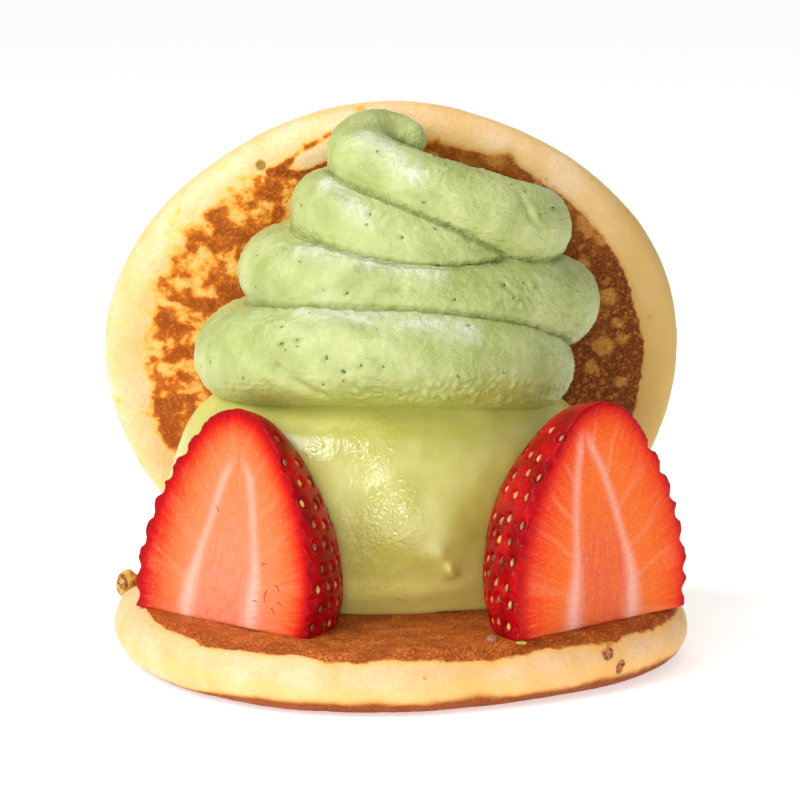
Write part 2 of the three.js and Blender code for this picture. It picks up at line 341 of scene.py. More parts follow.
def make_line():
    """How strongly a soft line from start to end shows, from 0 to 1."""
    inputs = {"Place": "Vector", "Start": "Vector", "End": "Vector", "Reach": "Float"}
    tree, given, result = make_group("line", inputs, {"Mask": "Float"})

    def vector(operation, first, second, output="Vector"):
        return node(tree, "VectorMath", {0: first, 1: second}, output, operation=operation)

    way = vector("SUBTRACT", given["End"], given["Start"])
    from_start = vector("SUBTRACT", given["Place"], given["Start"])
    reached = vector("DOT_PRODUCT", from_start, way, "Value")
    whole = calc(tree, "MAXIMUM", vector("DOT_PRODUCT", way, way, "Value"), 0.0001)
    part = node(tree, "Clamp", {"Value": calc(tree, "DIVIDE", reached, whole)})
    foot = node(tree, "VectorMath", {0: way, "Scale": part}, operation="SCALE")
    gap = vector("DISTANCE", from_start, foot, "Value")
    share = calc(tree, "POWER", calc(tree, "DIVIDE", gap, given["Reach"]), 2.0)
    fill(tree, result["Mask"], calc(tree, "EXPONENT", calc(tree, "MULTIPLY", share, -1.0)))
    return tree


def line(tree, place, start, end, reach):
    return use(tree, soft_line, Place=place, Start=start, End=end, Reach=reach)["Mask"]


def spot(tree, place, middle, radius, soft=0.3):
    """1 inside a round spot and 0 outside, soft at its edge."""
    away = node(tree, "VectorMath", {0: place, 1: middle}, "Value", operation="DISTANCE")
    return rise(tree, away, radius - soft, radius + soft, 1.0, 0.0)


pores = make_pores()
grain = make_grain()
soft_line = make_line()
print("node groups:", [group.name for group in bpy.data.node_groups])

# %% [markdown]
# ## The last step of every material
# Colour, roughness and relief go to the shader. What is the same all over the surface, such as how strongly
# it mirrors or how far light travels under the skin, is set on the shader's own sockets.

# %% Finishing a material


def blank_material(name):
    material = bpy.data.materials.new(name)
    material.use_nodes = True
    return material, material.node_tree


def finish_material(tree, colour, roughness, height, relief, constants):
    """Relief is how many millimetres high a height of 1 stands."""
    shader = tree.nodes["Principled BSDF"]
    bump = node(tree, "Bump", {"Height": height, "Distance": relief * MM})
    fill(tree, shader.inputs["Base Color"], colour)
    fill(tree, shader.inputs["Roughness"], roughness)
    fill(tree, shader.inputs["Normal"], bump)
    for socket, value in constants.items():
        shader.inputs[socket].default_value = value


def glow(weight, depth, red=1.0, green=0.6, blue=0.3):
    """Light that travels under the surface, so many millimetres deep."""
    return {
        "Subsurface Weight": weight,
        "Subsurface Scale": depth * MM,
        "Subsurface Radius": (red, green, blue),
    }


# %% [markdown]
# The table glows faintly, like a sheet of white acrylic lit from below. That keeps it white to the edge of
# the picture and leaves only a soft shadow under the food.

# %% Table finish
floor_material, floor_tree = blank_material("pale_table")
floor_tone = clouds(floor_tree, piece_place(floor_tree), 40)
floor_colour = mix(floor_tree, floor_tone, srgb(248, 248, 248), srgb(251, 251, 251))
floor_constants = {
    "Specular IOR Level": 0.1,
    "Emission Color": (1, 1, 1, 1),
    "Emission Strength": FLOOR_GLOW,
}
finish_material(floor_tree, floor_colour, 0.9, floor_tone, 0.01, floor_constants)
floor.data.materials.append(floor_material)
print("table finish ready")

# %% [markdown]
# ## Shapes that rise in rings
# The custard and the berry are round, with an outline that swells and closes. By hand, one would draw a
# circle, extrude it upwards again and again and scale each new ring. That is what this helper does. A smooth
# outline comes from a few points and a Catmull-Rom curve through them.

# %% Rings and smooth outlines


def curve_through(points, part):
    """The place on a smooth curve through the points, at a part from 0 to 1 of the way."""
    last = len(points) - 1
    along = min(max(part, 0), 1) * last
    first = min(int(along), last - 1)
    t = along - first
    before, start = Vector(points[max(first - 1, 0)]), Vector(points[first])
    end, after = Vector(points[first + 1]), Vector(points[min(first + 2, last)])
    leave, arrive = (end - before) / 2, (after - start) / 2
    cubic = (start - end) * 2 + leave + arrive
    square = (end - start) * 3 - leave * 2 - arrive
    return cubic * t**3 + square * t**2 + leave * t + start


def smooth_outline(outline, steps):
    return [curve_through(outline, step / steps) for step in range(steps + 1)]


def raise_rings(name, rings, sides):
    """Extrudes a circle up through rings of half width and height, and closes the top in a point."""
    half, height = rings[0]
    bpy.ops.object.select_all(action="DESELECT")
    bpy.ops.mesh.primitive_circle_add(
        vertices=sides, radius=half * MM, fill_type="NGON", location=mm(0, 0, height)
    )
    piece = named(name)
    settle(piece, piece.location.copy())
    bpy.ops.object.mode_set(mode="EDIT")
    bpy.ops.mesh.select_all(action="SELECT")
    for next_half, next_height in rings[1:-1]:
        bpy.ops.mesh.extrude_region_move(
            TRANSFORM_OT_translate={"value": mm(0, 0, next_height - height)}
        )
        share = next_half / half
        bpy.ops.transform.resize(value=(share, share, 1), center_override=mm(0, 0, next_height))
        half, height = next_half, next_height
    bpy.ops.mesh.extrude_region_move(TRANSFORM_OT_translate={"value": mm(0, 0, rings[-1][1] - height)})
    bpy.ops.mesh.merge(type="CENTER")
    bpy.ops.mesh.select_all(action="SELECT")
    bpy.ops.mesh.normals_make_consistent(inside=False)
    bpy.ops.object.mode_set(mode="OBJECT")
    return piece


def cut_flat(piece, point, normal):
    """Cuts a piece with a plane, keeps the side that the normal points to and closes the cut."""
    pick(piece)
    bpy.ops.object.mode_set(mode="EDIT")
    bpy.ops.mesh.select_all(action="SELECT")
    bpy.ops.mesh.bisect(plane_co=point, plane_no=normal, use_fill=True, clear_inner=True)
    bpy.ops.object.mode_set(mode="OBJECT")


# %% [markdown]
# ## Relief
# A fine, even mesh comes from a voxel remesh. Relief is then either a Displace modifier with a cloud texture,
# or a move worked out for each vertex where the real relief follows a rule.

# %% Relief helpers


def even_mesh(piece, width, smoothing=3):
    apply_modifier(piece, "REMESH", mode="VOXEL", voxel_size=width * MM)
    apply_modifier(piece, "SMOOTH", factor=0.5, iterations=smoothing)
    bpy.ops.object.shade_smooth()


def move_vertices(piece, move):
    """Adds to each vertex what move(vertex) gives, in metres."""
    offsets = [move(vertex) for vertex in piece.data.vertices]
    for vertex, offset in zip(piece.data.vertices, offsets):
        vertex.co += offset
    piece.data.update()


def swell(piece, size, height, depth=1):
    """Gentle unevenness: blotches of a size that rise and sink by half the height."""
    texture = bpy.data.textures.new("swell", "CLOUDS")
    texture.noise_scale = size * MM
    texture.noise_depth = depth
    apply_modifier(
        piece, "DISPLACE", texture=texture, strength=height * MM, mid_level=0.5, texture_coords="LOCAL"
    )


# %% [markdown]
# Food also carries single marks: a burst bubble, a crease left by the nozzle, a peak where the spoon came
# off. Each one is a spot or a short line on the skin, where the vertices nearby move in or out. Crumbly
# places get small lumps with sharp valleys between them.

# %% Marks and lumps


def vertex_tree(piece):
    tree = kdtree.KDTree(len(piece.data.vertices))
    for vertex in piece.data.vertices:
        tree.insert(vertex.co, vertex.index)
    tree.balance()
    return tree


def line_gap(place, start, end):
    """How far a place lies from a short straight line."""
    way = end - start
    if way.length == 0:
        return (place - start).length
    part = min(max((place - start).dot(way) / way.length_squared, 0), 1)
    return (place - start - way * part).length


def press_marks(piece, marks):
    """Moves the skin along short lines. A mark is its two ends, its reach and its height in millimetres."""
    tree = vertex_tree(piece)
    vertices = piece.data.vertices
    normals = [vertex.normal.copy() for vertex in vertices]
    for start, end, reach, height in marks:
        start, end, reach = mm(*start), mm(*end), reach * MM
        far = (end - start).length / 2 + 2.2 * reach
        for place, index, _ in tree.find_range((start + end) / 2, far):
            share = math.exp(-((line_gap(place, start, end) / reach) ** 2))
            vertices[index].co += normals[index] * share * height * MM


def lumps(piece, size, height, zones=None):
    """Round lumps with sharp valleys, all over or only near some lines: two ends and a reach."""

    def billow(place):
        return abs(noise.noise(place)) + 0.5 * abs(noise.noise(place * 2.3))

    def lift(vertex):
        share = 1
        if zones:
            gaps = [line_gap(vertex.co, mm(*start), mm(*end)) / (reach * MM) for start, end, reach in zones]
            share = math.exp(-min(gaps) ** 2)
        if share < 0.02:
            return Vector()
        rounded = billow(vertex.co / (size * MM)) * 2 - 0.7
        return vertex.normal * rounded * share * height * MM

    move_vertices(piece, lift)


def hold_in(piece, box):
    """Keeps every vertex inside a box, as the table keeps the underside flat."""
    low, high = box
    for vertex in piece.data.vertices:
        vertex.co = [min(max(value, low[axis]), high[axis]) for axis, value in enumerate(vertex.co)]


# %% [markdown]
# ## Pancakes
# A dorayaki pancake is a ladleful of batter on a hot plate: a flat disc with a fully rounded, pale rim. By
# hand it is a cylinder whose two edges are bevelled until they meet. The outline isn't a true circle. It has
# a few shallow lobes, and no operator swells a rim by a formula, so the lobes are a vertex move.

# %% Pancake sizes
THICKNESS = 9.5
RIM = THICKNESS / 2
RIM_SIDES = 120
LOWER_RADIUS = 44
LOWER_LOBES = [(1, 1.6, 4.02), (3, 0.9, -0.33), (4, 0.8, -1.07)]  # lobes, swell, turn
UPPER_RADIUS = 45.8
UPPER_LOBES = [(2, 0.9, 0.34), (3, 0.5, -1.57), (4, 0.15, 3.14), (5, 0.4, 2.04)]
UPPER_LEAN = math.radians(22)
UPPER_SIDE_SHIFT = -1.3
UPPER_FOOT_Y = 49.2
UPPER_FOOT_LIFT = 0.05
PANCAKE_MESH = 0.55


def lobe_swell(lobes, angle):
    return sum(height * math.cos(count * angle - turn) for count, height, turn in lobes)


def pancake_disc(name, radius):
    bpy.ops.object.select_all(action="DESELECT")
    bpy.ops.mesh.primitive_cylinder_add(
        vertices=RIM_SIDES, radius=radius * MM, depth=THICKNESS * MM, location=mm(0, 0, RIM)
    )
    piece = named(name)
    settle(piece, piece.location.copy())
    mesh = piece.data
    bpy.context.tool_settings.mesh_select_mode = (False, True, False)
    for edge in mesh.edges:
        first, second = (mesh.vertices[end].co.z for end in edge.vertices)
        edge.select = abs(first - second) < 0.1 * MM
    bpy.ops.object.mode_set(mode="EDIT")
    bpy.ops.mesh.bevel(offset=RIM * 0.98 * MM, segments=10, profile=0.5, affect="EDGES")
    bpy.ops.object.mode_set(mode="OBJECT")
    return piece


def add_lobes(piece, radius, lobes):
    def outward(vertex):
        flat = Vector((vertex.co.x, vertex.co.y, 0))
        share = lobe_swell(lobes, math.atan2(vertex.co.y, vertex.co.x)) / radius
        return flat * share * min(flat.length / (radius * MM), 1)

    move_vertices(piece, outward)


# %% [markdown]
# The lower pancake lies as it came off the plate, browned side up. The rim sags a little between the faces,
# and its top is slightly uneven.

# %% Lower pancake
pancake_lower = pancake_disc("pancake_lower", LOWER_RADIUS)
even_mesh(pancake_lower, PANCAKE_MESH)
add_lobes(pancake_lower, LOWER_RADIUS, LOWER_LOBES)
swell(pancake_lower, 14, 0.5)
swell(pancake_lower, 3, 0.15)
hold_in(pancake_lower, cad_box)
print("pancake_lower:", len(pancake_lower.data.polygons), "faces")

# %% [markdown]
# The upper pancake stands on the table behind the lower one and leans forward. It is made lying down, given
# its unevenness, and only then stood up, so that its material can be worked out in its own lying frame.

# %% Upper pancake
upper_reach = UPPER_RADIUS + lobe_swell(UPPER_LOBES, -math.pi / 2) - RIM
upper_middle = (
    UPPER_SIDE_SHIFT,
    UPPER_FOOT_Y - upper_reach * math.sin(UPPER_LEAN),
    upper_reach * math.cos(UPPER_LEAN) + RIM + UPPER_FOOT_LIFT,
)
upper_turn = (math.pi / 2 + UPPER_LEAN, 0, 0)

RIM_HOLES = [  # place in the pancake's own frame, reach and depth
    ((-20.6, 37, RIM), 0.85, 0.7),
    ((-37.8, 13.7, 4.2), 0.4, 0.5),
    ((-30, 31, 4), 0.5, 0.25),
]

pancake_upper = pancake_disc("pancake_upper", UPPER_RADIUS)
even_mesh(pancake_upper, PANCAKE_MESH)
add_lobes(pancake_upper, UPPER_RADIUS, UPPER_LOBES)
swell(pancake_upper, 16, 0.5)
swell(pancake_upper, 3, 0.12)
settle(pancake_upper, mm(0, 0, -RIM))
press_marks(pancake_upper, [(place, place, reach, -depth) for place, reach, depth in RIM_HOLES])
settle(pancake_upper, mm(*upper_middle), upper_turn)
hold_in(pancake_upper, cad_box)
print("pancake_upper:", len(pancake_upper.data.polygons), "faces")

# %% [markdown]
# ## Custard
# A soft mound with a rounded shoulder, spooned on the lower pancake. It rises in rings. The front is
# flatter than the back, so the front half of each ring is pressed in. The back rests on the upper pancake
# and is cut flat there. The spoon leaves a swelling in front, a long faint crease and a small peak.

# %% Custard
CUSTARD_PLACE = (-2.4, 3, THICKNESS)
CUSTARD_HEIGHT = 37.3
CUSTARD_FRONT_LOW = 0.66
CUSTARD_FRONT_HIGH = 0.84
CUSTARD_BACK = 0.93
CUSTARD_OUTLINE = [(31.5, 0), (34.6, 8), (33.6, 18), (29.5, 28), (20, 34.5)]
CUSTARD_SINK = 0.3  # how far it sinks into the pancake
UPPER_NORMAL = Vector((0, -math.cos(UPPER_LEAN), -math.sin(UPPER_LEAN)))
UPPER_FACE = mm(*upper_middle) + UPPER_NORMAL * RIM * MM


CUSTARD_MARKS = [  # two ends, reach and height
    ((-14, -18, 40), (14, -18, 40), 8, -0.9),
    ((5, -22, 23), (2, -22, 23), 6.5, 1.3),
    ((4.6, -16, 41), (4.8, -20.5, 35), 1.1, -0.22),
    ((5.6, -21, 19.5), (7.2, -20, 17.4), 1.7, 0.7),
    ((7.2, -20.4, 17.6), (7.8, -19.8, 16.6), 0.65, 0.8),
    ((-9, -19, 13), (9, -19, 13.5), 2.2, 0.4),
]


def press_front(piece):
    def squeeze(vertex):
        risen = min(max(vertex.co.z / (CUSTARD_HEIGHT * MM), 0), 1)
        front = CUSTARD_FRONT_LOW + (CUSTARD_FRONT_HIGH - CUSTARD_FRONT_LOW) * risen
        share = CUSTARD_BACK if vertex.co.y > 0 else front
        return Vector((0, vertex.co.y * (share - 1), 0))

    move_vertices(piece, squeeze)


custard_rings = [*smooth_outline(CUSTARD_OUTLINE, 12), (12, 36.6), (0, CUSTARD_HEIGHT)]
custard = raise_rings("custard", custard_rings, 72)
press_front(custard)
settle(custard, mm(*CUSTARD_PLACE) - mm(0, 0, CUSTARD_SINK))
cut_flat(custard, UPPER_FACE, UPPER_NORMAL)
even_mesh(custard, 0.52, smoothing=12)
swell(custard, 11, 0.8)
press_marks(custard, CUSTARD_MARKS)
swell(custard, 4.5, 0.32)
hold_in(custard, cad_box)
print("custard:", len(custard.data.polygons), "faces")

# %% [markdown]
# ## Cream
# The cream is one thick rope from a plain round nozzle. It goes round and round, each ring smaller, and ends
# in a curled tip. Here the rope is a curve with a thickness at each point, made a mesh and melted together
# with its filling by a remesh. The curve passes the right and the left side in turn. These passes are the
# same as the solid's: place to the side and to the back, height, half thickness, how far the rope swings
# back on the way to the next pass, and how much it arches up.

# %% The rope's way
CREAM_PASSES = [
    (-15, 2, 42, 6.6, 8, 0),
    (19.4, -1, 45, 7.5, -16.5, 3.4),
    (-24.6, 0, 46.5, 7.4, 17, 0),
    (23.8, 6, 54, 7.4, -15, -0.2),
    (-18.6, 2, 59.5, 6.5, 12.5, 0),
    (14, 3, 61.2, 6.2, -12, 0),
    (-11.2, 2, 69.3, 5.8, 11.5, 0),
    (20.2, 1, 66.4, 6.4, -10, 0.3),
    (-6.4, 2, 77.6, 5, 5, 0.8),
    (2.6, 2.5, 78.8, 3.2, 0, 0),
]
CREAM_START = 0.4
CREAM_ROUND_END = 0.55
CREAM_STEPS = 24
LAST_PASS = len(CREAM_PASSES) - 1
ROPE_HEIGHTS = [(number, cream_pass[2]) for number, cream_pass in enumerate(CREAM_PASSES)]


def rope_middle(turn):
    first = min(max(int(turn), 0), LAST_PASS - 1)
    part = turn - first
    side, back, _, _, swing, arch = CREAM_PASSES[first]
    next_side, next_back = CREAM_PASSES[first + 1][:2]
    bow = math.sin(math.pi * part)
    return mm(
        side + (next_side - side) * (1 - math.cos(math.pi * part)) / 2,
        back + (next_back - back) * part + swing * bow,
        curve_through(ROPE_HEIGHTS, turn / LAST_PASS)[1] + arch * bow,
    )


def rope_half(turn):
    first = min(int(turn), LAST_PASS - 1)
    half, next_half = CREAM_PASSES[first][3], CREAM_PASSES[first + 1][3]
    closing = min(max((turn - LAST_PASS + CREAM_ROUND_END) / CREAM_ROUND_END, 0), 1)
    return (half + (next_half - half) * (turn - first)) * math.sqrt(1 - closing**2)


rope_turns = []
for step in range(math.ceil((LAST_PASS - CREAM_START) * CREAM_STEPS) + 1):
    rope_turns.append(min(CREAM_START + step / CREAM_STEPS, LAST_PASS))
rope_path = [rope_middle(turn) for turn in rope_turns]
rope_length = sum((end - start).length for start, end in zip(rope_path, rope_path[1:]))
print(f"rope: {rope_length / MM:.0f} mm long in {len(rope_path)} points")

# %% The rope and its filling
CORE_SLIM = 2
CORE_DEPTH = 0.7
CORE_BACK = 2


def rope_mesh(name):
    curve = bpy.data.curves.new(name, "CURVE")
    curve.dimensions = "3D"
    curve.bevel_depth = MM
    curve.bevel_resolution = 8
    curve.use_fill_caps = True
    spline = curve.splines.new("POLY")
    spline.points.add(len(rope_path) - 1)
    for point, place, turn in zip(spline.points, rope_path, rope_turns):
        point.co = (*place, 1)
        point.radius = max(rope_half(turn), 0.3)
    rope = bpy.data.objects.new(name, curve)
    bpy.context.scene.collection.objects.link(rope)
    pick(rope)
    bpy.ops.object.convert(target="MESH")
    return bpy.context.object


def cream_filling(name):
    rings = []
    for here, after in zip(CREAM_PASSES[1:-2], CREAM_PASSES[2:-1]):
        rings.append((abs(after[0] - here[0]) / 2 - CORE_SLIM, (here[2] + after[2]) / 2))
    rings.sort(key=lambda ring: ring[1])
    rings = [(rings[0][0], CREAM_PASSES[0][2]), *rings, (0, rings[-1][1] + 1)]
    filling = raise_rings(name, rings, 48)
    settle(filling, mm(0, CORE_BACK, 0), scale=(1, CORE_DEPTH, 1))
    return filling


rope = rope_mesh("cream_swirl")
filling = cream_filling("cream_filling")
pick(rope)
filling.select_set(True)
bpy.ops.object.join()
cream = named("cream_swirl")
even_mesh(cream, 0.6, smoothing=2)
cut_flat(cream, UPPER_FACE, UPPER_NORMAL)
even_mesh(cream, 0.4, smoothing=3)

# %% [markdown]
# Where one turn of the rope lies on another, the two only touch along a narrow groove, which the finish
# paints darker as painted shade. A vertex is in a groove when it is equally near to two turns, each measured
# in its own thickness. The rope's direction is kept on the vertices too, for the fine lines that the nozzle
# draws.

# %% Grooves between the turns
GROOVE_DEPTH = 1.1
GROOVE_SHARE = 0.055  # half width of a groove, as a share of the rope's thickness
NEIGHBOUR_REACH = 10
NEXT_TURN = 0.7  # farther along than this, in half turns, is another part of the rope

rope_tree = kdtree.KDTree(len(rope_path))
for number, place in enumerate(rope_path):
    rope_tree.insert(place, number)
rope_tree.balance()


def rope_shares(place):
    """The turns near a place, each with its distance as a share of the rope's thickness there."""
    shares = []
    for _, number, gap in rope_tree.find_range(place, NEIGHBOUR_REACH * MM):
        half = max(rope_half(rope_turns[number]), 1) * MM
        shares.append((gap / half, number))
    return sorted(shares)


def groove_share(place):
    """1 in the middle of a groove and 0 away from it."""
    shares = rope_shares(place)
    if not shares:
        return 0
    nearest, first = shares[0]
    for share, number in shares:
        if abs(rope_turns[number] - rope_turns[first]) > NEXT_TURN:
            return math.exp(-(((share - nearest) / GROOVE_SHARE) ** 2))
    return 0


def press_grooves(piece):
    """Presses the grooves in and stores their share, and the way along the rope, on the vertices."""
    grooves = piece.data.attributes.new("groove", "FLOAT", "POINT")
    strokes = piece.data.attributes.new("stroke", "FLOAT_VECTOR", "POINT")
    vertices = piece.data.vertices
    shares = [groove_share(vertex.co) for vertex in vertices]
    grooves.data.foreach_set("value", shares)
    for vertex, stroke, share in zip(vertices, strokes.data, shares):
        place, number, _ = rope_tree.find(vertex.co)
        last = len(rope_path) - 1
        way = (rope_path[min(number + 1, last)] - rope_path[max(number - 1, 0)]).normalized()
        along = (vertex.co - place).dot(way) / MM
        out = vertex.co - place - way * along * MM
        around = math.atan2(out.z, way.cross(out).z) * out.length / MM
        stroke.vector = (rope_distance[number] + along, around, out.length / MM)
    inward = [vertex.normal * -share * GROOVE_DEPTH * MM for vertex, share in zip(vertices, shares)]
    for vertex, offset in zip(vertices, inward):
        vertex.co += offset


rope_distance = [0]
for start, end in zip(rope_path, rope_path[1:]):
    rope_distance.append(rope_distance[-1] + (end - start).length / MM)
press_grooves(cream)
print("cream_swirl:", len(cream.data.polygons), "faces")

# %% [markdown]
# Whipped cream isn't smooth. It holds small air bubbles that burst as it leaves the nozzle, a few soft
# creases, and crumbly places where the rope was pressed on the turn below.

# %% Bubbles, creases and crumbly places
CREAM_BUBBLES = [  # place and reach, all in millimetres
    ((-17.7, -19.9, 51.4), 0.55),
    ((-15.4, -20.8, 52.2), 0.5),
    ((-10.9, -23, 49.8), 0.5),
    ((-8.3, -23.5, 47.8), 0.7),
    ((-5.8, -24, 48.7), 0.5),
    ((-2.5, -24.4, 48.6), 0.5),
    ((-11.5, -22.2, 45.6), 0.4),
    ((-8, -16.4, 58.5), 0.55),
    ((-17.7, -17.8, 53.7), 0.45),
    ((0.3, -15.1, 66.8), 0.5),
    ((-4.5, -13.3, 70.1), 0.35),
    ((8.3, -16.9, 57.7), 0.35),
    ((15.8, -13.8, 59.5), 0.6),
    ((21.2, -9.1, 69.5), 0.45),
    ((23.3, -6.5, 70.2), 0.5),
    ((-15.1, -11.5, 62.7), 0.4),
]
CREAM_CREASES = [  # two ends, reach and height, lower than the skin or higher
    ((-24.1, -15.6, 49.8), (-18.4, -20.1, 47.5), 1.0, -0.6),
    ((-18.4, -20.1, 47.5), (-11.7, -21.2, 43.7), 1.0, -0.75),
    ((-14.6, -15.5, 55.6), (-7.5, -22.2, 53.2), 1.5, 0.5),
    ((-7.5, -22.2, 53.2), (-2.2, -23.5, 52.2), 1.5, 0.35),
    ((-15.2, -9.9, 64), (-7.1, -14.8, 62.2), 1.5, 0.5),
    ((-7.1, -14.8, 62.2), (6, -14.6, 62.2), 1.5, 0.35),
    ((-12.1, -1.2, 74.5), (-10.1, -9.4, 71.8), 1.5, 0.5),
    ((-10.1, -9.4, 71.8), (-3.3, -14.8, 66.8), 1.5, 0.5),
    ((-11.9, -15.1, 58.6), (0, -17.2, 59.5), 0.8, -0.45),
    ((0, -17.2, 59.5), (15.8, -14.6, 56.9), 0.8, -0.45),
    ((18.3, -9.9, 72.6), (19.7, -10.5, 69.7), 0.6, -0.45),
    ((19.7, -10.5, 69.7), (22.4, -7.6, 65.2), 0.6, -0.4),
    ((1.0, -13.3, 73.2), (2.6, -13.4, 72.7), 0.35, -0.7),
    ((6, -13.9, 73.2), (10.6, -12.3, 66.9), 1.1, -0.5),
    ((24.6, -8, 48), (25.6, -6, 43.6), 0.6, -0.4),
]
CRUMBLY_PLACES = [  # two ends and reach
    ((-6, -22.4, 44.8), (4.5, -22, 44), 2.2),
    ((4.5, -22.5, 44.6), (19, -16, 43.4), 3.0),
    ((19, -16, 43.6), (24, -9, 42.7), 2.8),
    ((17, -13, 57.5), (27, -4, 51.5), 3.0),
]

press_marks(cream, CREAM_CREASES)
swell(cream, 5, 0.4)
lumps(cream, 1.5, 0.5, CRUMBLY_PLACES)
lumps(cream, 1.3, 0.14)
press_marks(cream, [(place, place, reach * 0.8, -1.3 * reach) for place, reach in CREAM_BUBBLES])
hold_in(cream, cad_box)
print("cream marked:", len(CREAM_BUBBLES), "bubbles and", len(CREAM_CREASES), "creases")

# %% [markdown]
# ## Strawberry
# Each half is a tapering berry raised in rings, split lengthwise and set on its cut stem end. It keeps a
# frame of its own: X across the cut face, Y into the fruit and Z up to the tip.

# %% Strawberry sizes
BERRY_OUTLINE = [(18.4, 0), (18.9, 6.5), (16.8, 15.5), (13.2, 22.8), (8.6, 29), (4.8, 32.5), (0, 34)]
BERRY_UNDERCUT = 4
BERRY_BASE = THICKNESS + 0.3
BERRY_SINK = 0.5  # how far a berry is pressed into the pancake
BERRIES = {
    "left": {
        "place": (-27.3, -23.4, BERRY_BASE),
        "turn": math.radians(-41),
        "lean": math.radians(8),
        "share": (0.96, 0.97, 0.95),
        "tip_fullness": 1.05,
        "streaks": (
            [(-7.4, -3), (-7.2, 1.6), (-6.6, 6), (-5.2, 11), (-3.4, 16.5), (-1.8, 22), (0.2, 27), (2, 34)],
            [(6.3, -3), (6.6, 3), (6.8, 8), (6, 13), (5, 18), (4, 22.5), (2.4, 26.4), (2, 34)],
        ),
        "streak_top": 26,
        "flesh": [
            (0, (150, 0, 4)),
            (1.3, (178, 0, 6)),
            (2.1, (208, 18, 6)),
            (3.4, (231, 60, 16)),
            (5.4, (242, 102, 46)),
            (9, (245, 126, 76)),
        ],
        "core": (246, 140, 108),
        "veins": 0.14,
    },
    "right": {
        "place": (30.6, -23.9, BERRY_BASE),
        "turn": math.radians(43),
        "lean": math.radians(1),
        "share": (0.98, 0.86, 0.99),
        "tip_fullness": 1.48,
        "streaks": (
            [(-6.7, -3), (-6.3, 3), (-5.6, 10), (-5.7, 16), (-5.5, 22), (-4.8, 27), (-4.4, 31), (-4.4, 34)],
            [(6, -3), (6.5, 3), (6.1, 8), (4.3, 13), (2.2, 18.5), (-0.1, 23.5), (-3, 28.6), (-4.4, 34)],
        ),
        "streak_top": 30,
        "flesh": [
            (0, (164, 0, 4)),
            (0.7, (192, 2, 6)),
            (1.4, (216, 22, 4)),
            (2.8, (242, 62, 2)),
            (5.5, (250, 94, 12)),
            (9, (252, 112, 28)),
        ],
        "core": (238, 102, 58),
        "veins": 0.26,
    },
}
SEED_SIZE = (0.42, 0.34, 0.72)
SEED_SPACING = 3.1
SEED_FACE_MARGIN = 0.09
SEED_TIP_MARGIN = 2.5
SEED_JITTER = 0.22
DIMPLE_WIDTH = 1.3
DIMPLE_DEPTH = 0.95
NOTCH_SPACING = 4.1  # the dimples that the cut went through
NOTCH_WIDTH = 1.7
NOTCH_DEPTH = 0.85
berry_skin = smooth_outline(BERRY_OUTLINE, 60)


def draw(row, place):
    """The same draw between -1 and 1 for the same two whole numbers."""
    wave = math.sin(row * 127.1 + place * 311.7) * 43758.5453
    return 2 * (wave - math.floor(wave)) - 1


def berry_half_width(height):
    for low, high in zip(berry_skin, berry_skin[1:]):
        if high[1] > height:
            return low[0] + (high[0] - low[0]) * (height - low[1]) / (high[1] - low[1])
    return 0


def berry_frame(berry):
    """Takes the berry's own frame, in millimetres, to the table."""
    turn = Matrix.Rotation(berry["turn"], 4, "Z") @ Matrix.Rotation(-berry["lean"], 4, "X")
    return Matrix.Translation(mm(*berry["place"])) @ turn @ Matrix.Diagonal((*mm(*berry["share"]), 1))


def fullness(berry, height):
    """How much thicker than round the berry is at a height. Towards the tip one half is plumper."""
    return 1 + (berry["tip_fullness"] - 1) * min(max(height / berry_skin[-1][1], 0), 1)


def seed_places():
    """Staggered rows of seeds up the skin, each nudged a little, as angle and height."""
    places = []
    rows = int((berry_skin[-1][1] - SEED_TIP_MARGIN) / SEED_SPACING)
    for row in range(rows):
        height = SEED_SPACING * (row + 0.6)
        count = max(round(math.pi * berry_half_width(height) / SEED_SPACING), 2)
        for number in range(count):
            stagger = 0 if row % 2 == 0 else 0.5
            part = (number + stagger + SEED_JITTER * draw(row, number)) / (count - 0.5)
            part = min(max(part, 0), 1)
            angle = SEED_FACE_MARGIN + (math.pi - 2 * SEED_FACE_MARGIN) * part
            places.append((angle, height + SEED_JITTER * SEED_SPACING * draw(number, row + 9)))
    return places


def notch_places():
    """The notches that give both edges of the face their scallops, as angle and height."""
    rows = int((berry_skin[-1][1] - SEED_TIP_MARGIN) / NOTCH_SPACING)
    places = []
    for row in range(rows):
        for angle in (0, math.pi):
            nudge = SEED_JITTER * draw(row, 5 + angle)
            places.append((angle, NOTCH_SPACING * (row + 0.5 + nudge)))
    return places


def seed_matrix(berry, angle, height):
    """Sets a seed in the skin with its tip up the berry and its back outwards."""
    half = berry_half_width(height)
    thick = fullness(berry, height)
    slope = math.atan2(half - berry_half_width(height + 1), 1)
    outward = math.atan2(math.sin(angle) / thick, math.cos(angle))
    spot = Matrix.Translation((half * math.cos(angle), half * thick * math.sin(angle), height))
    turn = Matrix.Rotation(outward - math.pi / 2, 4, "Z") @ Matrix.Rotation(slope, 4, "X")
    return berry_frame(berry) @ spot @ turn


berry_seeds = seed_places()
print("seeds on each half:", len(berry_seeds))

# %% [markdown]
# The half is cut twice, once for the face and once level with the table, then remeshed so that each seed
# can press a dimple into the skin.

# %% Strawberry halves


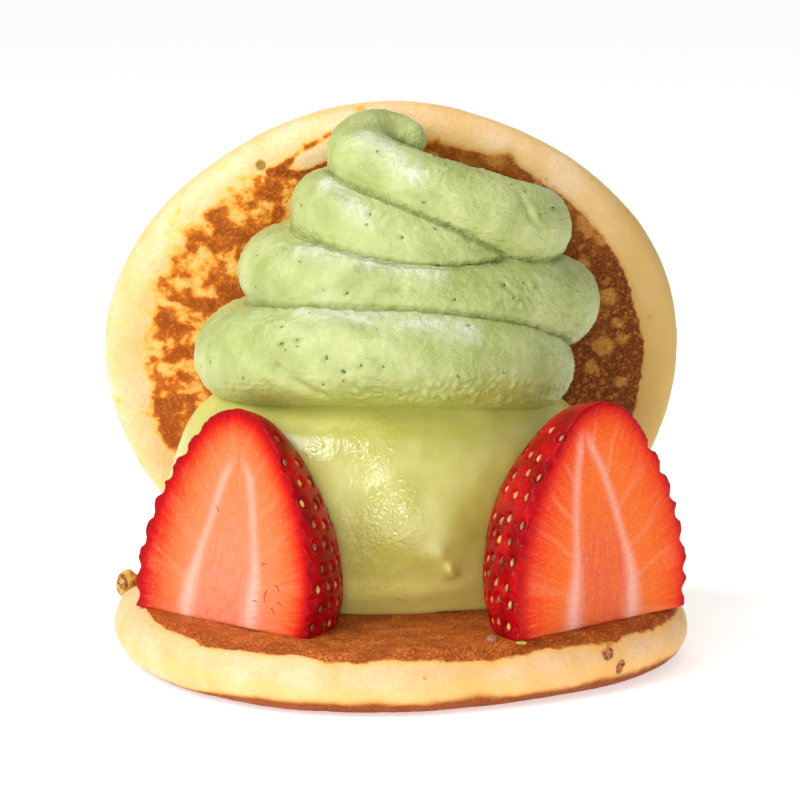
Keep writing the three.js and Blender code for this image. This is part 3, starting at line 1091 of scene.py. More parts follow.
def berry_body(name, berry):
    rings = [(BERRY_OUTLINE[0][0] - 1, -BERRY_UNDERCUT), *smooth_outline(BERRY_OUTLINE, 24)]
    piece = raise_rings(name, rings, 72)
    cut_flat(piece, (0, 0, 0), (0, 1, 0))
    move_vertices(piece, lambda vertex: Vector((0, vertex.co.y * (fullness(berry, vertex.co.z / MM) - 1), 0)))
    settle(piece, scale=berry["share"])
    settle(piece, rotation=(-berry["lean"], 0, 0))
    settle(piece, mm(*berry["place"]), (0, 0, berry["turn"]))
    cut_flat(piece, mm(0, 0, BERRY_BASE - BERRY_SINK), (0, 0, 1))
    even_mesh(piece, 0.34, smoothing=2)
    return piece


def press_dimples(piece, berry):
    dents = [(spot, DIMPLE_WIDTH, DIMPLE_DEPTH) for spot in berry_seeds]
    dents += [(spot, NOTCH_WIDTH, NOTCH_DEPTH) for spot in notch_places()]
    tree = kdtree.KDTree(len(dents))
    outward = []
    for number, (spot, _, _) in enumerate(dents):
        seat = seed_matrix(berry, *spot)
        tree.insert(seat.translation, number)
        outward.append((seat.to_3x3() @ Vector((0, 1, 0))).normalized())
    tree.balance()

    def dent(vertex):
        _, number, gap = tree.find(vertex.co)
        _, width, depth = dents[number]
        near = max(1 - (gap / (width * MM)) ** 2, 0)
        return outward[number] * -depth * MM * near**2

    move_vertices(piece, dent)


def skin_distance(place, thick):
    """How far, in millimetres, a place in the berry's own frame lies from the skin."""
    spot = Vector((math.hypot(place.x, place.y / thick), place.z))
    return min((spot - Vector(point)).length for point in berry_skin)


def streak_gap(streak, across, up):
    """How far, in millimetres, a place on the face lies to the right of a white streak."""
    for low, high in zip(streak, streak[1:]):
        if up <= high[1]:
            return across - low[0] - (high[0] - low[0]) * (up - low[1]) / (high[1] - low[1])
    return across - streak[-1][0]


def mark_flesh(piece, berry):
    """Stores places on the face and distances from the skin and the white streaks on the vertices."""
    own = berry_frame(berry).inverted()
    flesh_marks = piece.data.attributes.new("flesh", "FLOAT_VECTOR", "POINT")
    streak_marks = piece.data.attributes.new("streaks", "FLOAT_VECTOR", "POINT")
    first, second = (smooth_outline(streak, 40) for streak in berry["streaks"])
    for vertex, flesh_mark, streak_mark in zip(piece.data.vertices, flesh_marks.data, streak_marks.data):
        spot = own @ vertex.co
        flesh_mark.vector = (spot.x, spot.z, skin_distance(spot, fullness(berry, spot.z)))
        gaps = [streak_gap(streak, spot.x, spot.z) for streak in (first, second)]
        streak_mark.vector = (*gaps, spot.y)


berry_bodies = {}
for side, berry in BERRIES.items():
    body = berry_body("strawberry_" + side, berry)
    press_dimples(body, berry)
    mark_flesh(body, berry)
    berry_bodies[side] = body
    print(body.name, len(body.data.polygons), "faces")

# %% [markdown]
# A seed is an ico sphere drawn out to a point, modelled once. Each copy has its own mesh, is set in its
# dimple and joined to the others.

# %% Seeds
SEED_SUNK = 0.5


def seed_pattern():
    bpy.ops.object.select_all(action="DESELECT")
    bpy.ops.mesh.primitive_ico_sphere_add(subdivisions=2, radius=1)
    seed = named("seed_pattern")

    def draw_out(vertex):
        waist = 1 - 0.45 * max(vertex.co.z, 0)
        return Vector((vertex.co.x * (waist - 1), vertex.co.y * (waist - 1), 0))

    move_vertices(seed, draw_out)
    settle(seed, scale=SEED_SIZE)
    bpy.ops.object.shade_smooth()
    return seed


def scatter_seeds(name, pattern, berry):
    copies = []
    for spot in berry_seeds:
        copy = bpy.data.objects.new(name, pattern.data.copy())
        bpy.context.scene.collection.objects.link(copy)
        copy.matrix_world = seed_matrix(berry, *spot) @ Matrix.Translation((0, -SEED_SUNK, 0))
        copies.append(copy)
    pick(copies[0])
    for copy in copies:
        copy.select_set(True)
    bpy.ops.object.join()
    seeds = named(name)
    bpy.ops.object.transform_apply(location=True, rotation=True, scale=True)
    return seeds


pattern = seed_pattern()
berry_seed_pieces = {}
for side, berry in BERRIES.items():
    berry_seed_pieces[side] = scatter_seeds("strawberry_seeds_" + side, pattern, berry)
bpy.data.objects.remove(pattern)
print("seed pieces:", [piece.name for piece in berry_seed_pieces.values()])

# %% [markdown]
# ## Small leftovers
# A scrap of browned skin curls up from the left rim of the lower pancake, two flakes cling to its right side,
# and a little juice and a bit of leaf lie at the foot of the right half. Each is a small ball, flattened,
# made uneven and turned so that it lies on the skin below it. A few tiny hairs stick to the left half's cut
# face.

# %% Scraps, flakes and juice
BITS = {  # place, half sizes, the way up, and how uneven it is
    "scrap": ((-42.9, 4.2, 9.4), (1.0, 1.7, 2.3), (0.2, 0, 1), 0.5),
    "flake_high": ((31.1, -30.3, 6.2), (1.0, 0.8, 0.18), (0.63, -0.75, 0.19), 0.8),
    "flake_low": ((33, -28.6, 3.8), (0.75, 1.0, 0.2), (0.7, -0.69, -0.19), 0.8),
    "juice": ((13.6, -34.4, 9.6), (0.8, 2.1, 0.35), (0, 0, 1), 0.4),
    "leaf_bit": ((17.9, -37.6, 9.7), (0.8, 0.35, 0.25), (0, -0.2, 1), 0.3),
}


def small_bit(name, place, size, up, unevenness):
    bpy.ops.object.select_all(action="DESELECT")
    bpy.ops.mesh.primitive_ico_sphere_add(subdivisions=5, radius=MM)
    bit = named(name)
    settle(bit, scale=size)
    swell(bit, 0.9, unevenness, 2)
    bpy.ops.object.shade_smooth()
    settle(bit, mm(*place), Vector(up).to_track_quat("Z", "Y").to_euler())
    return bit


bits = {name: small_bit(name, *values) for name, values in BITS.items()}
print("small leftovers:", sorted(bits))

# %% Hairs
HAIR_HALF_WIDTH = 0.055
HAIRS = [  # middle on the cut face (across and up), length and turn from level in degrees
    (-2.4, 17.5, 1.2, -50),
    (8.4, 10.1, 1.1, 30),
    (11.6, 6.8, 1.3, -40),
    (9.4, 5.3, 1.9, 80),
    (7.2, 4.1, 0.9, 5),
    (12.4, 4.4, 1.1, -25),
    (11.1, 3.1, 1.2, -50),
]


def hair_points(across, up, length, turn):
    """Three points of a hair on the cut face, bowed a little."""
    way = Vector((math.cos(turn), 0, math.sin(turn))) * length / 2
    bow = Vector((-way.z, 0, way.x)) * 0.35
    middle = Vector((across, -HAIR_HALF_WIDTH / 2, up))
    return middle - way, middle + bow, middle + way


def lay_hairs(name, berry):
    curve = bpy.data.curves.new(name, "CURVE")
    curve.dimensions = "3D"
    curve.bevel_depth = HAIR_HALF_WIDTH * MM
    curve.use_fill_caps = True
    for across, up, length, turn in HAIRS:
        spline = curve.splines.new("POLY")
        spline.points.add(2)
        points = hair_points(across, up, length, math.radians(turn))
        for point, place in zip(spline.points, points):
            point.co = (*(berry_frame(berry) @ place), 1)
    hairs = bpy.data.objects.new(name, curve)
    bpy.context.scene.collection.objects.link(hairs)
    pick(hairs)
    bpy.ops.object.convert(target="MESH")
    return bpy.context.object


hairs = lay_hairs("hairs", BERRIES["left"])
print("hairs:", len(hairs.data.polygons), "faces")

# %% [markdown]
# ## Pancake finish
# The rim never touched the hot plate and stays pale. The side that cooks first browns evenly, with a fine
# dark grain, and its edge follows the outline. The side that cooks second touches the plate only in places.
# There the batter's bubbles leave golden lace where the heat was gentle, and round golden spots in deep brown
# where it was strong. Around every browned patch the sponge is golden.

# %% Pale sponge and browned edges
GOLD = srgb(247, 184, 88)


def rim_gap(tree, place, radius, lobes):
    """How far inside the pancake's lobed outline a place lies, in millimetres."""
    x, y, _ = axes(tree, place)
    angle = calc(tree, "ARCTAN2", y, x)
    outline = radius
    for count, height, turn in lobes:
        wave = calc(tree, "COSINE", calc(tree, "MULTIPLY_ADD", angle, count, -turn))
        outline = calc(tree, "MULTIPLY_ADD", wave, height, outline)
    flat = node(tree, "CombineXYZ", {0: x, 1: y})
    return calc(tree, "SUBTRACT", outline, node(tree, "VectorMath", {0: flat}, "Value", operation="LENGTH"))


def wander(tree, place, gap, wide, narrow):
    """Lets an edge wander, in wide bends and in narrow raggedness, both in millimetres."""
    bends = calc(tree, "SUBTRACT", clouds(tree, place, 8), 0.5)
    rags = calc(tree, "SUBTRACT", clouds(tree, place, 1.2, 4), 0.5)
    gap = calc(tree, "MULTIPLY_ADD", bends, wide, gap)
    return calc(tree, "MULTIPLY_ADD", rags, narrow, gap)


def pale_sponge(tree, place, tones):
    """Colour and height of the rim. Its middle is a little yellower, and it has a few faint pores, painted a
    little darker as painted shade.
    """
    speckle = calc(tree, "SUBTRACT", clouds(tree, place, 0.6, 2), 0.5)
    tone = calc(tree, "MULTIPLY_ADD", speckle, 0.4, clouds(tree, place, 7, 3))
    colour = ramp(tree, tone, [(0.32, srgb(*tones[0])), (0.5, srgb(*tones[1])), (0.66, srgb(*tones[2]))])
    z = axes(tree, place)[2]
    band = calc(tree, "MULTIPLY_ADD", calc(tree, "SUBTRACT", tone, 0.5), 4.0, calc(tree, "ADD", z, 0.4))
    yellow = rise(tree, calc(tree, "ABSOLUTE", band), 0.2, 1.6, 0.45, 0)
    colour = mix(tree, yellow, colour, srgb(241, 196, 112))
    pit = use(tree, pores, Place=place, Spacing=3.4, Width=0.7, Share=0.18)["Mask"]
    # painted shade in the pores
    colour = mix(tree, product(tree, pit, 0.35), colour, srgb(206, 172, 96))
    fine = use(tree, grain, Place=place, Size=0.8)["Height"]
    height = calc(tree, "MULTIPLY_ADD", fine, 0.4, product(tree, pit, -0.6))
    return colour, height


def toast(tree, rim, browned, depth, halo, crisp, gold=GOLD):
    """Puts a browned face on the sponge, where depth is how far inside the browned edge a place lies."""
    golden = mix(tree, rise(tree, depth, -halo, 0.2, 0, 0.9), rim[0], gold)
    share = rise(tree, depth, -crisp, crisp)
    height = node(tree, "Mix", {0: share, 2: rim[1], 3: browned[1]})
    return mix(tree, share, golden, browned[0]), height


def even_brown(tree, place):
    """Colour and height of an evenly browned face, speckled dark and light."""
    fine = clouds(tree, place, 0.42, 3)
    tone = calc(tree, "MULTIPLY_ADD", calc(tree, "SUBTRACT", clouds(tree, place, 3, 2), 0.5), 0.45, fine)
    stops = [
        (0.25, srgb(118, 48, 8)),
        (0.42, srgb(156, 72, 14)),
        (0.58, srgb(186, 94, 28)),
        (0.75, srgb(222, 136, 66)),
    ]
    return ramp(tree, tone, stops), product(tree, fine, 0.8)


print("sponge and browned edges ready")

# %% [markdown]
# The lace is a heat map. Broad noise says how hot each place got, the heat falls off towards the rim, and a
# colour ramp turns it from sponge through gold to deep brown. Two thin brown arcs lie outside the lace.

# %% Mottled face of the upper pancake
BROWN_MIDDLE = (0.4, 1.5, RIM)
BROWN_RADIUS = 40.3
BROWN_BAYS = [((20, 41.5, RIM), 4.5, 2.2), ((-12, 39.5, RIM), 6.5, -4)]  # where the edge bulges or stays in
BROWN_ARCS = [
    ((-18.2, 36.0, RIM), (-14.4, 39.6, RIM)),
    ((-14.4, 39.6, RIM), (-10, 42.3, RIM)),
    ((-10, 42.3, RIM), (-4, 44, RIM)),
    ((-19.2, 36.2, RIM), (-14.4, 35.6, RIM)),
    ((-14.4, 35.6, RIM), (-9, 38.2, RIM)),
]
GOLDEN_SPOTS = [  # place and half width
    ((31, 27, RIM), 1.9),
    ((33.1, 23.9, RIM), 1.0),
    ((34.6, 13.4, RIM), 1.5),
    ((34, 4.2, RIM), 1.8),
    ((32.2, 0.2, RIM), 1.2),
    ((36.4, 8.4, RIM), 0.9),
    ((37.2, 5.6, RIM), 0.8),
    ((37.2, -2.5, RIM), 1.0),
    ((16.2, 38.4, RIM), 1.5),
    ((30.4, 19.2, RIM), 1.1),
]
ORANGE_DROP = (-6.2, 45.7, RIM), (-4.6, 45.4, RIM)


def edge_depth(tree, place):
    """How far inside the browned edge of the mottled face a place lies."""
    away = node(tree, "VectorMath", {0: place, 1: BROWN_MIDDLE}, "Value", operation="DISTANCE")
    depth = calc(tree, "SUBTRACT", BROWN_RADIUS, away)
    for middle, reach, height in BROWN_BAYS:
        bay = spot(tree, place, middle, reach * 0.6, reach * 0.6)
        depth = calc(tree, "MULTIPLY_ADD", bay, height, depth)
    return depth


def golden_lace(tree, place, flat, rim, depth):
    """The gently heated side: brown lace over gold."""
    knots = clouds(tree, place, 3.3, 2, 0.25)
    fine = calc(tree, "SUBTRACT", clouds(tree, place, 0.5, 3), 0.5)
    heat = calc(tree, "MULTIPLY_ADD", fine, 0.2, knots)
    heat = calc(tree, "ADD", heat, rise(tree, depth, -2.4, 1.4, -0.36, 0.012))
    arcs = strongest(tree, [line(tree, flat, *ends, 0.6) for ends in BROWN_ARCS])
    heat = calc(tree, "MULTIPLY_ADD", arcs, 0.34, heat)
    stops = [
        (0.20, srgb(247, 214, 146)),
        (0.35, srgb(250, 203, 118)),
        (0.43, srgb(248, 182, 80)),
        (0.475, srgb(236, 146, 44)),
        (0.515, srgb(206, 106, 22)),
        (0.57, srgb(176, 86, 4)),
        (0.8, srgb(154, 70, 0)),
    ]
    colour = ramp(tree, heat, stops)
    flecks = rise(tree, clouds(tree, place, 0.5, 2), 0.5, 0.66, 0, 0.45)
    flecks = product(tree, flecks, rise(tree, heat, 0.48, 0.56))
    colour = mix(tree, flecks, colour, srgb(232, 150, 66))
    share = rise(tree, heat, 0.14, 0.36)
    height = calc(tree, "MULTIPLY_ADD", heat, -0.8, calc(tree, "ADD", rim[1], fine))
    return mix(tree, share, rim[0], colour), height


def bubbled_brown(tree, place, flat, rim, depth):
    """The strongly heated side: round golden spots in deep brown, with a crisp edge."""
    fine = clouds(tree, place, 0.5, 3)
    near = bent(tree, place, 1.4, 1.6, flat)
    small = use(tree, pores, Place=near, Spacing=1.0, Width=0.85, Share=0.7)["Mask"]
    large = use(tree, pores, Place=near, Spacing=4.4, Width=2.6, Share=0.14)["Mask"]
    chosen = [spot(tree, near, middle, radius, 0.5) for middle, radius in GOLDEN_SPOTS]
    large = strongest(tree, [large, *chosen])
    stops = [(0.3, srgb(98, 44, 4)), (0.5, srgb(126, 62, 8)), (0.7, srgb(160, 92, 26))]
    gold = ramp(tree, fine, [(0.35, srgb(196, 128, 46)), (0.65, srgb(224, 164, 82))])
    layers = [
        (rise(tree, axes(tree, flat)[1], 16, 36, 0, 0.5), srgb(190, 104, 30)),
        (product(tree, small, 0.5), srgb(208, 134, 46)),
        (product(tree, large, 0.75), gold),
    ]
    colour = layered(tree, ramp(tree, fine, stops), layers)
    height = calc(tree, "MULTIPLY_ADD", large, 0.5, fine)
    edge = wander(tree, place, depth, 1.8, 1.0)
    return toast(tree, rim, (colour, height), edge, 1.0, 0.22, srgb(218, 168, 84))


def mottled_face(tree, place, rim):
    x, y, _ = axes(tree, place)
    flat = node(tree, "CombineXYZ", {0: x, 1: y, 2: RIM})
    # painted shade: the rim is painted darker and tan towards its right, where the cream shades it
    rim = mix(tree, rise(tree, x, 27, 44, 0, 0.85), rim[0], srgb(208, 170, 90)), rim[1]
    depth = edge_depth(tree, flat)
    left = golden_lace(tree, place, flat, rim, depth)
    right = bubbled_brown(tree, place, flat, rim, depth)
    to_right = rise(tree, x, 2, 17)
    height = node(tree, "Mix", {0: to_right, 2: left[1], 3: right[1]})
    hole = spot(tree, flat, RIM_HOLES[0][0], 0.85, 0.2)
    drop = line(tree, flat, *ORANGE_DROP, 0.4)
    layers = [
        (to_right, right[0]),
        # painted shade inside the burst bubble's hollow
        (product(tree, hole, 0.85), srgb(158, 116, 10)),
        (product(tree, drop, 0.8), srgb(240, 168, 30)),
    ]
    return layered(tree, left[0], layers), height


# %% [markdown]
# The lower pancake has its even side up, and its browned edge lies a little down the rim, lowest at the front
# right. Its underside browned too, and from the front that shows as a thin dark line on the left and a soft
# brown band further right.

# %% Even faces and the two materials


def even_face(radius, lobes, bay=None):
    """An even browned side, made to measure for one pancake. Left of the bay its edge stops short."""

    def face(tree, place, rim):
        x, y, _ = axes(tree, place)
        gap = rim_gap(tree, place, radius, lobes)
        front_right = calc(tree, "MULTIPLY_ADD", x, 0.5, calc(tree, "MULTIPLY", y, -0.5))
        inset = rise(tree, front_right, 12, 30, 2.0, 1.1)
        if bay:
            inset = calc(tree, "ADD", inset, rise(tree, x, bay, bay + 9, 4.5, 0))
        depth = wander(tree, place, calc(tree, "SUBTRACT", gap, inset), 2.2, 0.7)
        return toast(tree, rim, even_brown(tree, place), depth, 1.0, 0.22)

    return face


def underside(radius, lobes):
    def face(tree, place, rim):
        x = axes(tree, place)[0]
        gap = rim_gap(tree, place, radius, lobes)
        inset = rise(tree, x, -34, -20, 1.6, 0.7)
        depth = wander(tree, place, calc(tree, "SUBTRACT", gap, inset), 0.9, 0.2)
        brown, height = even_brown(tree, place)
        smoother = mix(tree, 0.6, brown, srgb(138, 66, 16))
        return toast(tree, rim, (smoother, height), depth, 0.9, 0.35)

    return face


def pancake_material(name, place_settings, tones, front, back):
    material, tree = blank_material(name)
    place = piece_place(tree, **place_settings)
    rim = pale_sponge(tree, place, tones)
    front_colour, front_height = front(tree, place, rim)
    back_colour, back_height = back(tree, place, rim)
    side = calc(tree, "GREATER_THAN", axes(tree, place)[2], 0)
    colour = mix(tree, side, back_colour, front_colour)
    height = node(tree, "Mix", {0: side, 2: back_height, 3: front_height})
    finish_material(tree, colour, 0.62, height, 0.3, {"Specular IOR Level": 0.2, **glow(0.2, 1.2)})
    return material


upper_place = {"middle": upper_middle, "turn": upper_turn}
lower_place = {"middle": (0, 0, RIM)}
UPPER_TONES = (240, 196, 132), (244, 206, 150), (247, 216, 172)
LOWER_TONES = (236, 186, 122), (240, 196, 142), (244, 206, 160)
upper_faces = mottled_face, even_face(UPPER_RADIUS, UPPER_LOBES)
lower_faces = even_face(LOWER_RADIUS, LOWER_LOBES, -44), underside(LOWER_RADIUS, LOWER_LOBES)
upper_finish = pancake_material("mottled_pancake", upper_place, UPPER_TONES, *upper_faces)
lower_finish = pancake_material("even_pancake", lower_place, LOWER_TONES, *lower_faces)
pancake_upper.data.materials.append(upper_finish)
pancake_lower.data.materials.append(lower_finish)
print("pancake finishes ready")

# %% [markdown]
# ## Cream finish
# Whipped cream with green tea powder is a pale, dull green. It is painted a little darker and greener down in
# its grooves, yellower and darker at its foot on the custard, and darker in its pits and burst bubbles, all
# as painted shade. It lets light in, so it is soft in the shade. The nozzle leaves fine lines along the rope,
# and a whitish sheen is painted along the shoulders of the turns, only where they face up.

# %% Painted shade of the bubbles, painted sheen and nozzle lines of the cream
# the dark inside of a bubble's hole is painted shade
BUBBLE_DEPTH = 3  # how far in front of and behind its place a bubble's dark hole is looked for
# strips along the shoulders of the turns where a whitish sheen is painted
PAINTED_SHEEN_STRIPS = [  # two ends and reach
    ((-11.2, -5.5, 74.2), (-5.9, -12.5, 69.6), 1.5),
    ((-5.9, -12.5, 69.6), (-2.5, -14, 66.5), 1.1),
    ((-15, -9.4, 64.4), (-6.3, -14, 63), 1.7),
    ((-6.3, -14, 63), (6, -15.6, 61.4), 1.5),
    ((-14, -16.5, 56), (-6, -19.8, 55), 1.9),
    ((-6, -19.8, 55), (10, -20, 53.8), 2.2),
    ((-5.3, -4.4, 81.2), (2.3, -12.7, 76), 1.6),
]


# Painted shade: a dark spot at each burst bubble, looked for in front of and behind its place.
def painted_bubble_shade(tree, place):
    holes = []
    for (side, back, height), reach in CREAM_BUBBLES:
        ends = (side, back - BUBBLE_DEPTH, height), (side, back + BUBBLE_DEPTH, height)
        holes.append(line(tree, place, *ends, reach * 0.55))
    return rise(tree, strongest(tree, holes), 0.35, 0.65)


def painted_sheen_mask(tree, place, near):
    """Where the painted sheen shows, in patches."""
    painted_sheen = strongest(tree, [line(tree, near, *painted_sheen) for painted_sheen in PAINTED_SHEEN_STRIPS])
    patches = rise(tree, clouds(tree, place, 2.2, 4), 0.36, 0.6, 0.35, 1)
    facing_up = axes(tree, node(tree, "NewGeometry", {}, "Normal"))[2]
    return product(tree, painted_sheen, patches, rise(tree, facing_up, -0.1, 0.3))


def nozzle_lines(tree):
    """Fine lines along the rope, from 0 to 1."""
    along, around, _ = marked(tree, "stroke")
    inputs = {0: product(tree, along, 0.12), 1: product(tree, around, 1.1)}
    return clouds(tree, node(tree, "CombineXYZ", inputs), 1, 3)


print("cream marks ready:", len(PAINTED_SHEEN_STRIPS), "strips of film")

# %% Cream material
CREAM_TONES = [(0.35, srgb(162, 174, 94)), (0.5, srgb(178, 188, 112)), (0.65, srgb(191, 199, 130))]
# painted shade: darker, yellower colour at the cream's foot where it sits on the custard
CREAM_FOOT_PAINTED_SHADE = srgb(172, 178, 70)
# painted shade in the grooves between the turns
CREAM_SHADE = srgb(132, 148, 54)
# painted sheen: the whitish colour laid on the upward-facing shoulders
CREAM_PAINTED_SHEEN = srgb(212, 217, 190)
# painted shade inside the pits and burst bubbles
CREAM_PAINTED_HOLE_SHADE = srgb(72, 88, 4)


def cream_material():
    material, tree = blank_material("green_tea_cream")
    place = piece_place(tree)
    side, _, up = axes(tree, place)
    near = bent(tree, place, 1.0, 1.1)
    pit = use(tree, pores, Place=near, Spacing=1.7, Width=0.5, Share=0.16)["Mask"]
    groove = node(tree, "Attribute", {}, "Fac", attribute_name="groove")
    layers = [
        # painted shade at the foot of the cream
        (rise(tree, up, 42, 48, 0.75, 0), CREAM_FOOT_PAINTED_SHADE),
        # painted shade down in the grooves
        (product(tree, groove, 0.4), CREAM_SHADE),
        # painted sheen along the shoulders that face up
        (painted_sheen_mask(tree, place, near), CREAM_PAINTED_SHEEN),
        # painted shade in the pits and in the burst bubbles
        (product(tree, pit, 0.55), CREAM_PAINTED_HOLE_SHADE),
        (product(tree, painted_bubble_shade(tree, near), 0.85), CREAM_PAINTED_HOLE_SHADE),
    ]
    colour = layered(tree, ramp(tree, clouds(tree, place, 6, 3), CREAM_TONES), layers)
    fine = use(tree, grain, Place=place, Size=0.9)["Height"]
    height = product(tree, fine, rise(tree, side, -14, 14, 0.6, 0.8))
    height = calc(tree, "MULTIPLY_ADD", pit, -0.7, height)
    height = calc(tree, "MULTIPLY_ADD", nozzle_lines(tree), 0.6, height)
    satin = rise(tree, clouds(tree, place, 5, 3), 0.4, 0.62, 0.52, 0.34)
    constants = {"Specular IOR Level": 0.8, **glow(0.2, 1, 0.8, 1, 0.4)}
    finish_material(tree, colour, satin, height, 0.32, constants)
    return material


cream.data.materials.append(cream_material())
print("cream finish ready")

# %% [markdown]
# ## Custard finish
# Thick green tea custard is wet, milky and glossy, yellower than the cream. Its skin is curdled very finely,
# so the lamp's reflection breaks up into small bright specks. Its top, under the cream, and its foot, behind
# the berries, are painted paler, as painted light in their shade.

# %% Custard material
CUSTARD_TONES = [(0.35, srgb(188, 185, 84)), (0.5, srgb(198, 195, 98)), (0.65, srgb(208, 205, 116))]
# painted light: the pale colour laid on the custard's shaded top and foot
CUSTARD_PAINTED_LIGHT = srgb(244, 246, 140)
# from this height the custard is painted paler, both up and down, as painted light
CUSTARD_WAIST = 28  # the height from which it gets paler, both up and down
CURDLED_PLACES = [  # place and reach
    ((-2.5, -22, 25), 5),
    ((-4.2, -20, 35.5), 4),
    ((-11.5, -18, 35), 2),
    ((-4, -22, 16), 3),
    ((0, -22, 12), 2),
]


def custard_material():
    material, tree = blank_material("green_tea_custard")
    place = piece_place(tree)
    near = bent(tree, place, 4, 9)
    curdled = strongest(tree, [spot(tree, near, middle, reach, reach) for middle, reach in CURDLED_PLACES])
    curd = clouds(tree, place, 0.75, 2, 0.5)
    height = product(tree, curd, rise(tree, curdled, 0, 1, 0.15, 1))
    from_waist = calc(tree, "SUBTRACT", axes(tree, place)[2], CUSTARD_WAIST)
    # painted light: paler away from the waist, towards the shaded top and foot
    painted_light = rise(tree, calc(tree, "ABSOLUTE", from_waist), 7, 17, 0, 0.85)
    colour = mix(tree, painted_light, ramp(tree, clouds(tree, place, 8, 2), CUSTARD_TONES), CUSTARD_PAINTED_LIGHT)
    shine = rise(tree, curdled, 0, 1, 0.32, 0.09)
    constants = {"Specular IOR Level": 1.0, **glow(0.45, 3, 1, 0.85, 0.35)}
    finish_material(tree, colour, shine, height, 0.26, constants)
    return material


custard.data.materials.append(custard_material())
print("custard finish ready")

# %% [markdown]
# ## Strawberry finish
# The cut face is deep red at the skin, orange red inside and paler towards the middle. Two white streaks run
# up it. Fibres and a few pale veins leave the streaks and climb to the skin, the more steeply the higher they
# start. Between the streaks the core is pinker and its fibres stand upright. The skin is deep red and shiny.

# %% Strawberry flesh and skin
FIBRE_RISE = 0.055  # how much steeper a fibre climbs with each millimetre up the streak
VEIN_SPACING = 5.4


def bell(tree, gap, reach):
    """1 where a gap is nothing, and less and less away from there."""
    share = calc(tree, "POWER", calc(tree, "ABSOLUTE", calc(tree, "DIVIDE", gap, reach)), 2.0)
    return calc(tree, "EXPONENT", product(tree, share, -1.0))


def stretched(tree, across, along, narrow, long):
    """Noise drawn out into fibres, so many millimetres narrow and long."""
    inputs = {0: calc(tree, "DIVIDE", across, narrow), 1: calc(tree, "DIVIDE", along, long)}
    return clouds(tree, node(tree, "CombineXYZ", inputs), 1, 3)


def fibres(tree, place, up, outward):
    """Fibres and a few broad veins, both from 0 to 1. They leave the streaks and climb to the skin."""
    level = calc(tree, "DIVIDE", up, calc(tree, "MULTIPLY_ADD", outward, FIBRE_RISE, 1.0))
    fine = stretched(tree, level, outward, 0.5, 6)
    nudge = product(tree, calc(tree, "SUBTRACT", clouds(tree, place, 7, 1), 0.5), 3.5)
    turns = calc(tree, "DIVIDE", calc(tree, "ADD", level, nudge), VEIN_SPACING)
    wave = calc(tree, "COSINE", product(tree, turns, 2 * math.pi))
    return fine, product(tree, rise(tree, wave, 0.7, 1.0), rise(tree, outward, 1, 10, 1, 0.4))


def flesh_by_depth(tree, berry, across, up, deep, lines):
    """The flesh from the skin inwards, where the fibres fray one tone into the next."""
    lopsided = calc(tree, "MULTIPLY_ADD", across, 0.014, rise(tree, up, 14, 30, 1, 1.25))
    frayed = product(tree, deep, lopsided)
    frayed = calc(tree, "MULTIPLY_ADD", calc(tree, "SUBTRACT", lines, 0.5), 1.8, frayed)
    thickest = berry["flesh"][-1][0]
    stops = [(depth / thickest, srgb(*tone)) for depth, tone in berry["flesh"]]
    return ramp(tree, calc(tree, "DIVIDE", frayed, thickest), stops)


def white_streaks(tree, berry, up, gaps, lines):
    """How far the two streaks show and their colour. They are widest and whitest at the foot."""
    reach = rise(tree, up, 0, 14, 1.7, 0.85)
    streaks = strongest(tree, [bell(tree, gap, reach) for gap in gaps])
    top = berry["streak_top"]
    ending = rise(tree, up, top - 3, top + 1, 0.8, 0)
    share = product(tree, streaks, ending, rise(tree, lines, 0.3, 0.6, 0.7, 1))
    return share, mix(tree, rise(tree, up, 2, 14), srgb(252, 198, 182), srgb(250, 172, 150))


def cut_face(tree, place, berry):
    """Colour and height of the cut face."""
    across, up, deep = marked(tree, "flesh")
    first, second, _ = marked(tree, "streaks")
    outward = calc(tree, "MAXIMUM", product(tree, first, -1.0), second)
    core = rise(tree, outward, -1.2, 0, 1, 0)
    fine, veins = fibres(tree, place, up, calc(tree, "MAXIMUM", outward, 0.0))
    upright = stretched(tree, across, up, 0.5, 7)
    lines = node(tree, "Mix", {0: core, 2: fine, 3: upright})
    inner = rise(tree, deep, 1.5, 4)
    mottle = rise(tree, clouds(tree, place, 1.4, 3), 0.35, 0.6, 0.3, 0.9)
    outside = calc(tree, "SUBTRACT", 1.0, core)
    # painted glints: tiny pale specks that stand for the wet flesh's sparkle
    painted_glints = rise(tree, clouds(tree, place, 0.4, 2), 0.58, 0.7, 0, 0.2)
    layers = [
        (product(tree, core, mottle, rise(tree, up, 8, 24, 1, 0), inner), srgb(*berry["core"])),
        (product(tree, core, rise(tree, lines, 0.3, 0.5, 0.2, 0)), srgb(206, 44, 22)),
        (product(tree, inner, rise(tree, lines, 0.5, 0.7, 0, 0.24)), srgb(250, 142, 96)),
        (product(tree, veins, outside, inner, berry["veins"]), srgb(252, 166, 128)),
        white_streaks(tree, berry, up, (first, second), lines),
        # painted glints on the wet flesh
        (product(tree, painted_glints, inner), srgb(255, 190, 160)),
    ]
    return layered(tree, flesh_by_depth(tree, berry, across, up, deep, lines), layers), lines


print("cut face ready")

# %% Berry and seed materials
SKIN_TONES = [(0.35, srgb(142, 0, 8)), (0.5, srgb(170, 0, 12)), (0.68, srgb(194, 2, 14))]
SEED_TONES = [(0.38, srgb(120, 72, 38)), (0.5, srgb(180, 126, 62)), (0.62, srgb(228, 180, 92))]
BERRY_WET = {
    "Specular IOR Level": 0.06,
    "Coat Weight": 0.2,
    "Coat Roughness": 0.08,
    "Coat IOR": 1.35,
    **glow(0.12, 1, 1, 0.15, 0.08),
}


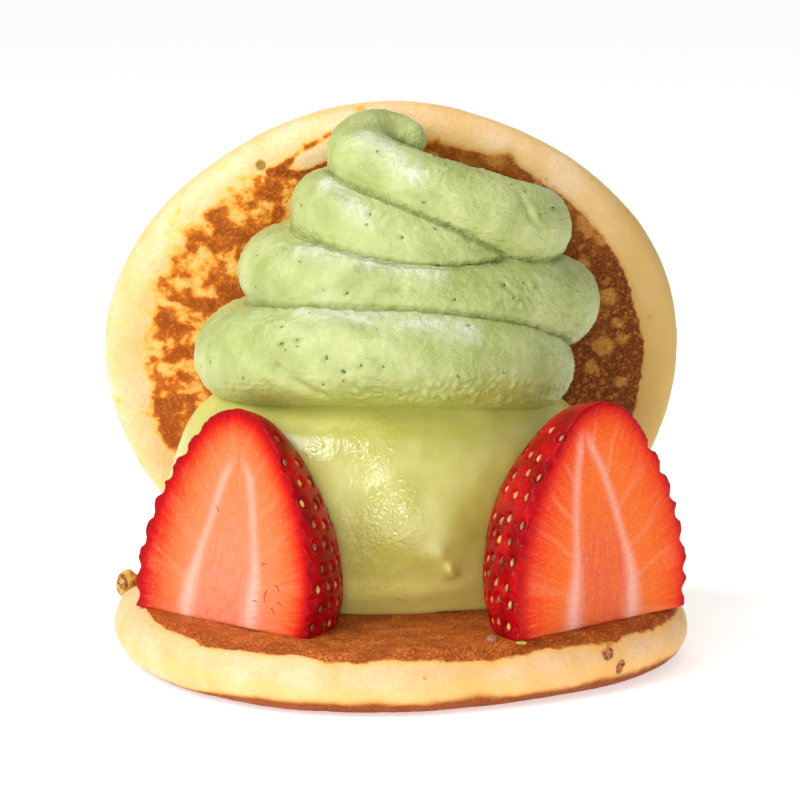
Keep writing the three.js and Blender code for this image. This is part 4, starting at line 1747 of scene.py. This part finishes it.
def berry_material(name, berry):
    material, tree = blank_material(name)
    place = piece_place(tree)
    deep = marked(tree, "flesh")[2]
    inward = marked(tree, "streaks")[2]
    face, lines = cut_face(tree, place, berry)
    skin = ramp(tree, clouds(tree, place, 4, 2), SKIN_TONES)
    outside = product(tree, rise(tree, inward, 0.1, 0.5), rise(tree, deep, 0.9, 1.6, 1, 0))
    fine = use(tree, grain, Place=place, Size=0.6)["Height"]
    height = calc(tree, "MULTIPLY_ADD", lines, 0.5, fine)
    roughness = rise(tree, outside, 0, 1, 0.34, 0.26)
    finish_material(tree, mix(tree, outside, face, skin), roughness, height, 0.26, BERRY_WET)
    return material


def seed_material():
    material, tree = blank_material("strawberry_seed")
    place = piece_place(tree)
    tone = clouds(tree, place, 2.6)
    finish_material(tree, ramp(tree, tone, SEED_TONES), 0.32, tone, 0.05, {"Specular IOR Level": 0.5})
    return material


seed_finish = seed_material()
for side, berry in BERRIES.items():
    berry_bodies[side].data.materials.append(berry_material("strawberry_flesh_" + side, berry))
    berry_seed_pieces[side].data.materials.append(seed_finish)
print("strawberry finishes ready")

# %% [markdown]
# The leftovers share one recipe: two colours mixed by noise. Only the juice is clear.

# %% Finishes of the small leftovers


def bit_material(name, dark, light, roughness, constants):
    material, tree = blank_material(name)
    tone = clouds(tree, piece_place(tree), 0.9, 3)
    stops = [(0.38, srgb(*dark)), (0.6, srgb(*light))]
    finish_material(tree, ramp(tree, tone, stops), roughness, tone, 0.12, constants)
    return material


scrap_soft = {"Specular IOR Level": 0.4, **glow(0.3, 0.8)}
scrap_finish = bit_material("scrap_skin", (128, 66, 14), (222, 172, 74), 0.4, scrap_soft)
flake_finish = bit_material("brown_flake", (104, 46, 14), (206, 122, 76), 0.3, {"Specular IOR Level": 0.4})
leaf_finish = bit_material("leaf_green", (128, 134, 30), (190, 186, 70), 0.4, {"Specular IOR Level": 0.4})
juice_clear = {"Specular IOR Level": 0.5, "Transmission Weight": 0.7, "IOR": 1.35}
juice_finish = bit_material("clear_juice", (238, 190, 160), (250, 216, 190), 0.15, juice_clear)
hair_finish = bit_material("hair_brown", (72, 24, 12), (120, 50, 24), 0.5, {"Specular IOR Level": 0.2})
FINISHES = {
    "scrap": scrap_finish,
    "flake_high": flake_finish,
    "flake_low": flake_finish,
    "juice": juice_finish,
    "leaf_bit": leaf_finish,
}
for name, bit in bits.items():
    bit.data.materials.append(FINISHES[name])
hairs.data.materials.append(hair_finish)
print("leftover finishes ready")

# %% [markdown]
# ## What stands for what
# Every piece rides on the one body. The list gives the solid that it replaces, which is hidden, and a finish
# name.

# %% Joining the frame
PIECES = [
    (pancake_lower, "pancake_lower", "sponge"),
    (pancake_upper, "pancake_upper", "sponge_upper"),
    (custard, "custard", "custard"),
    (cream, "cream_swirl", "cream"),
]
for side in BERRIES:
    PIECES.append((berry_bodies[side], "strawberry_half_" + side, "strawberry"))
    PIECES.append((berry_seed_pieces[side], "strawberry_half_" + side, "strawberry"))
for bit in bits.values():
    PIECES.append((bit, "pancake_lower", "sponge"))
PIECES.append((hairs, "strawberry_half_left", "strawberry"))
for piece, solid, finish in PIECES:
    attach(piece, "root")
    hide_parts(solid)
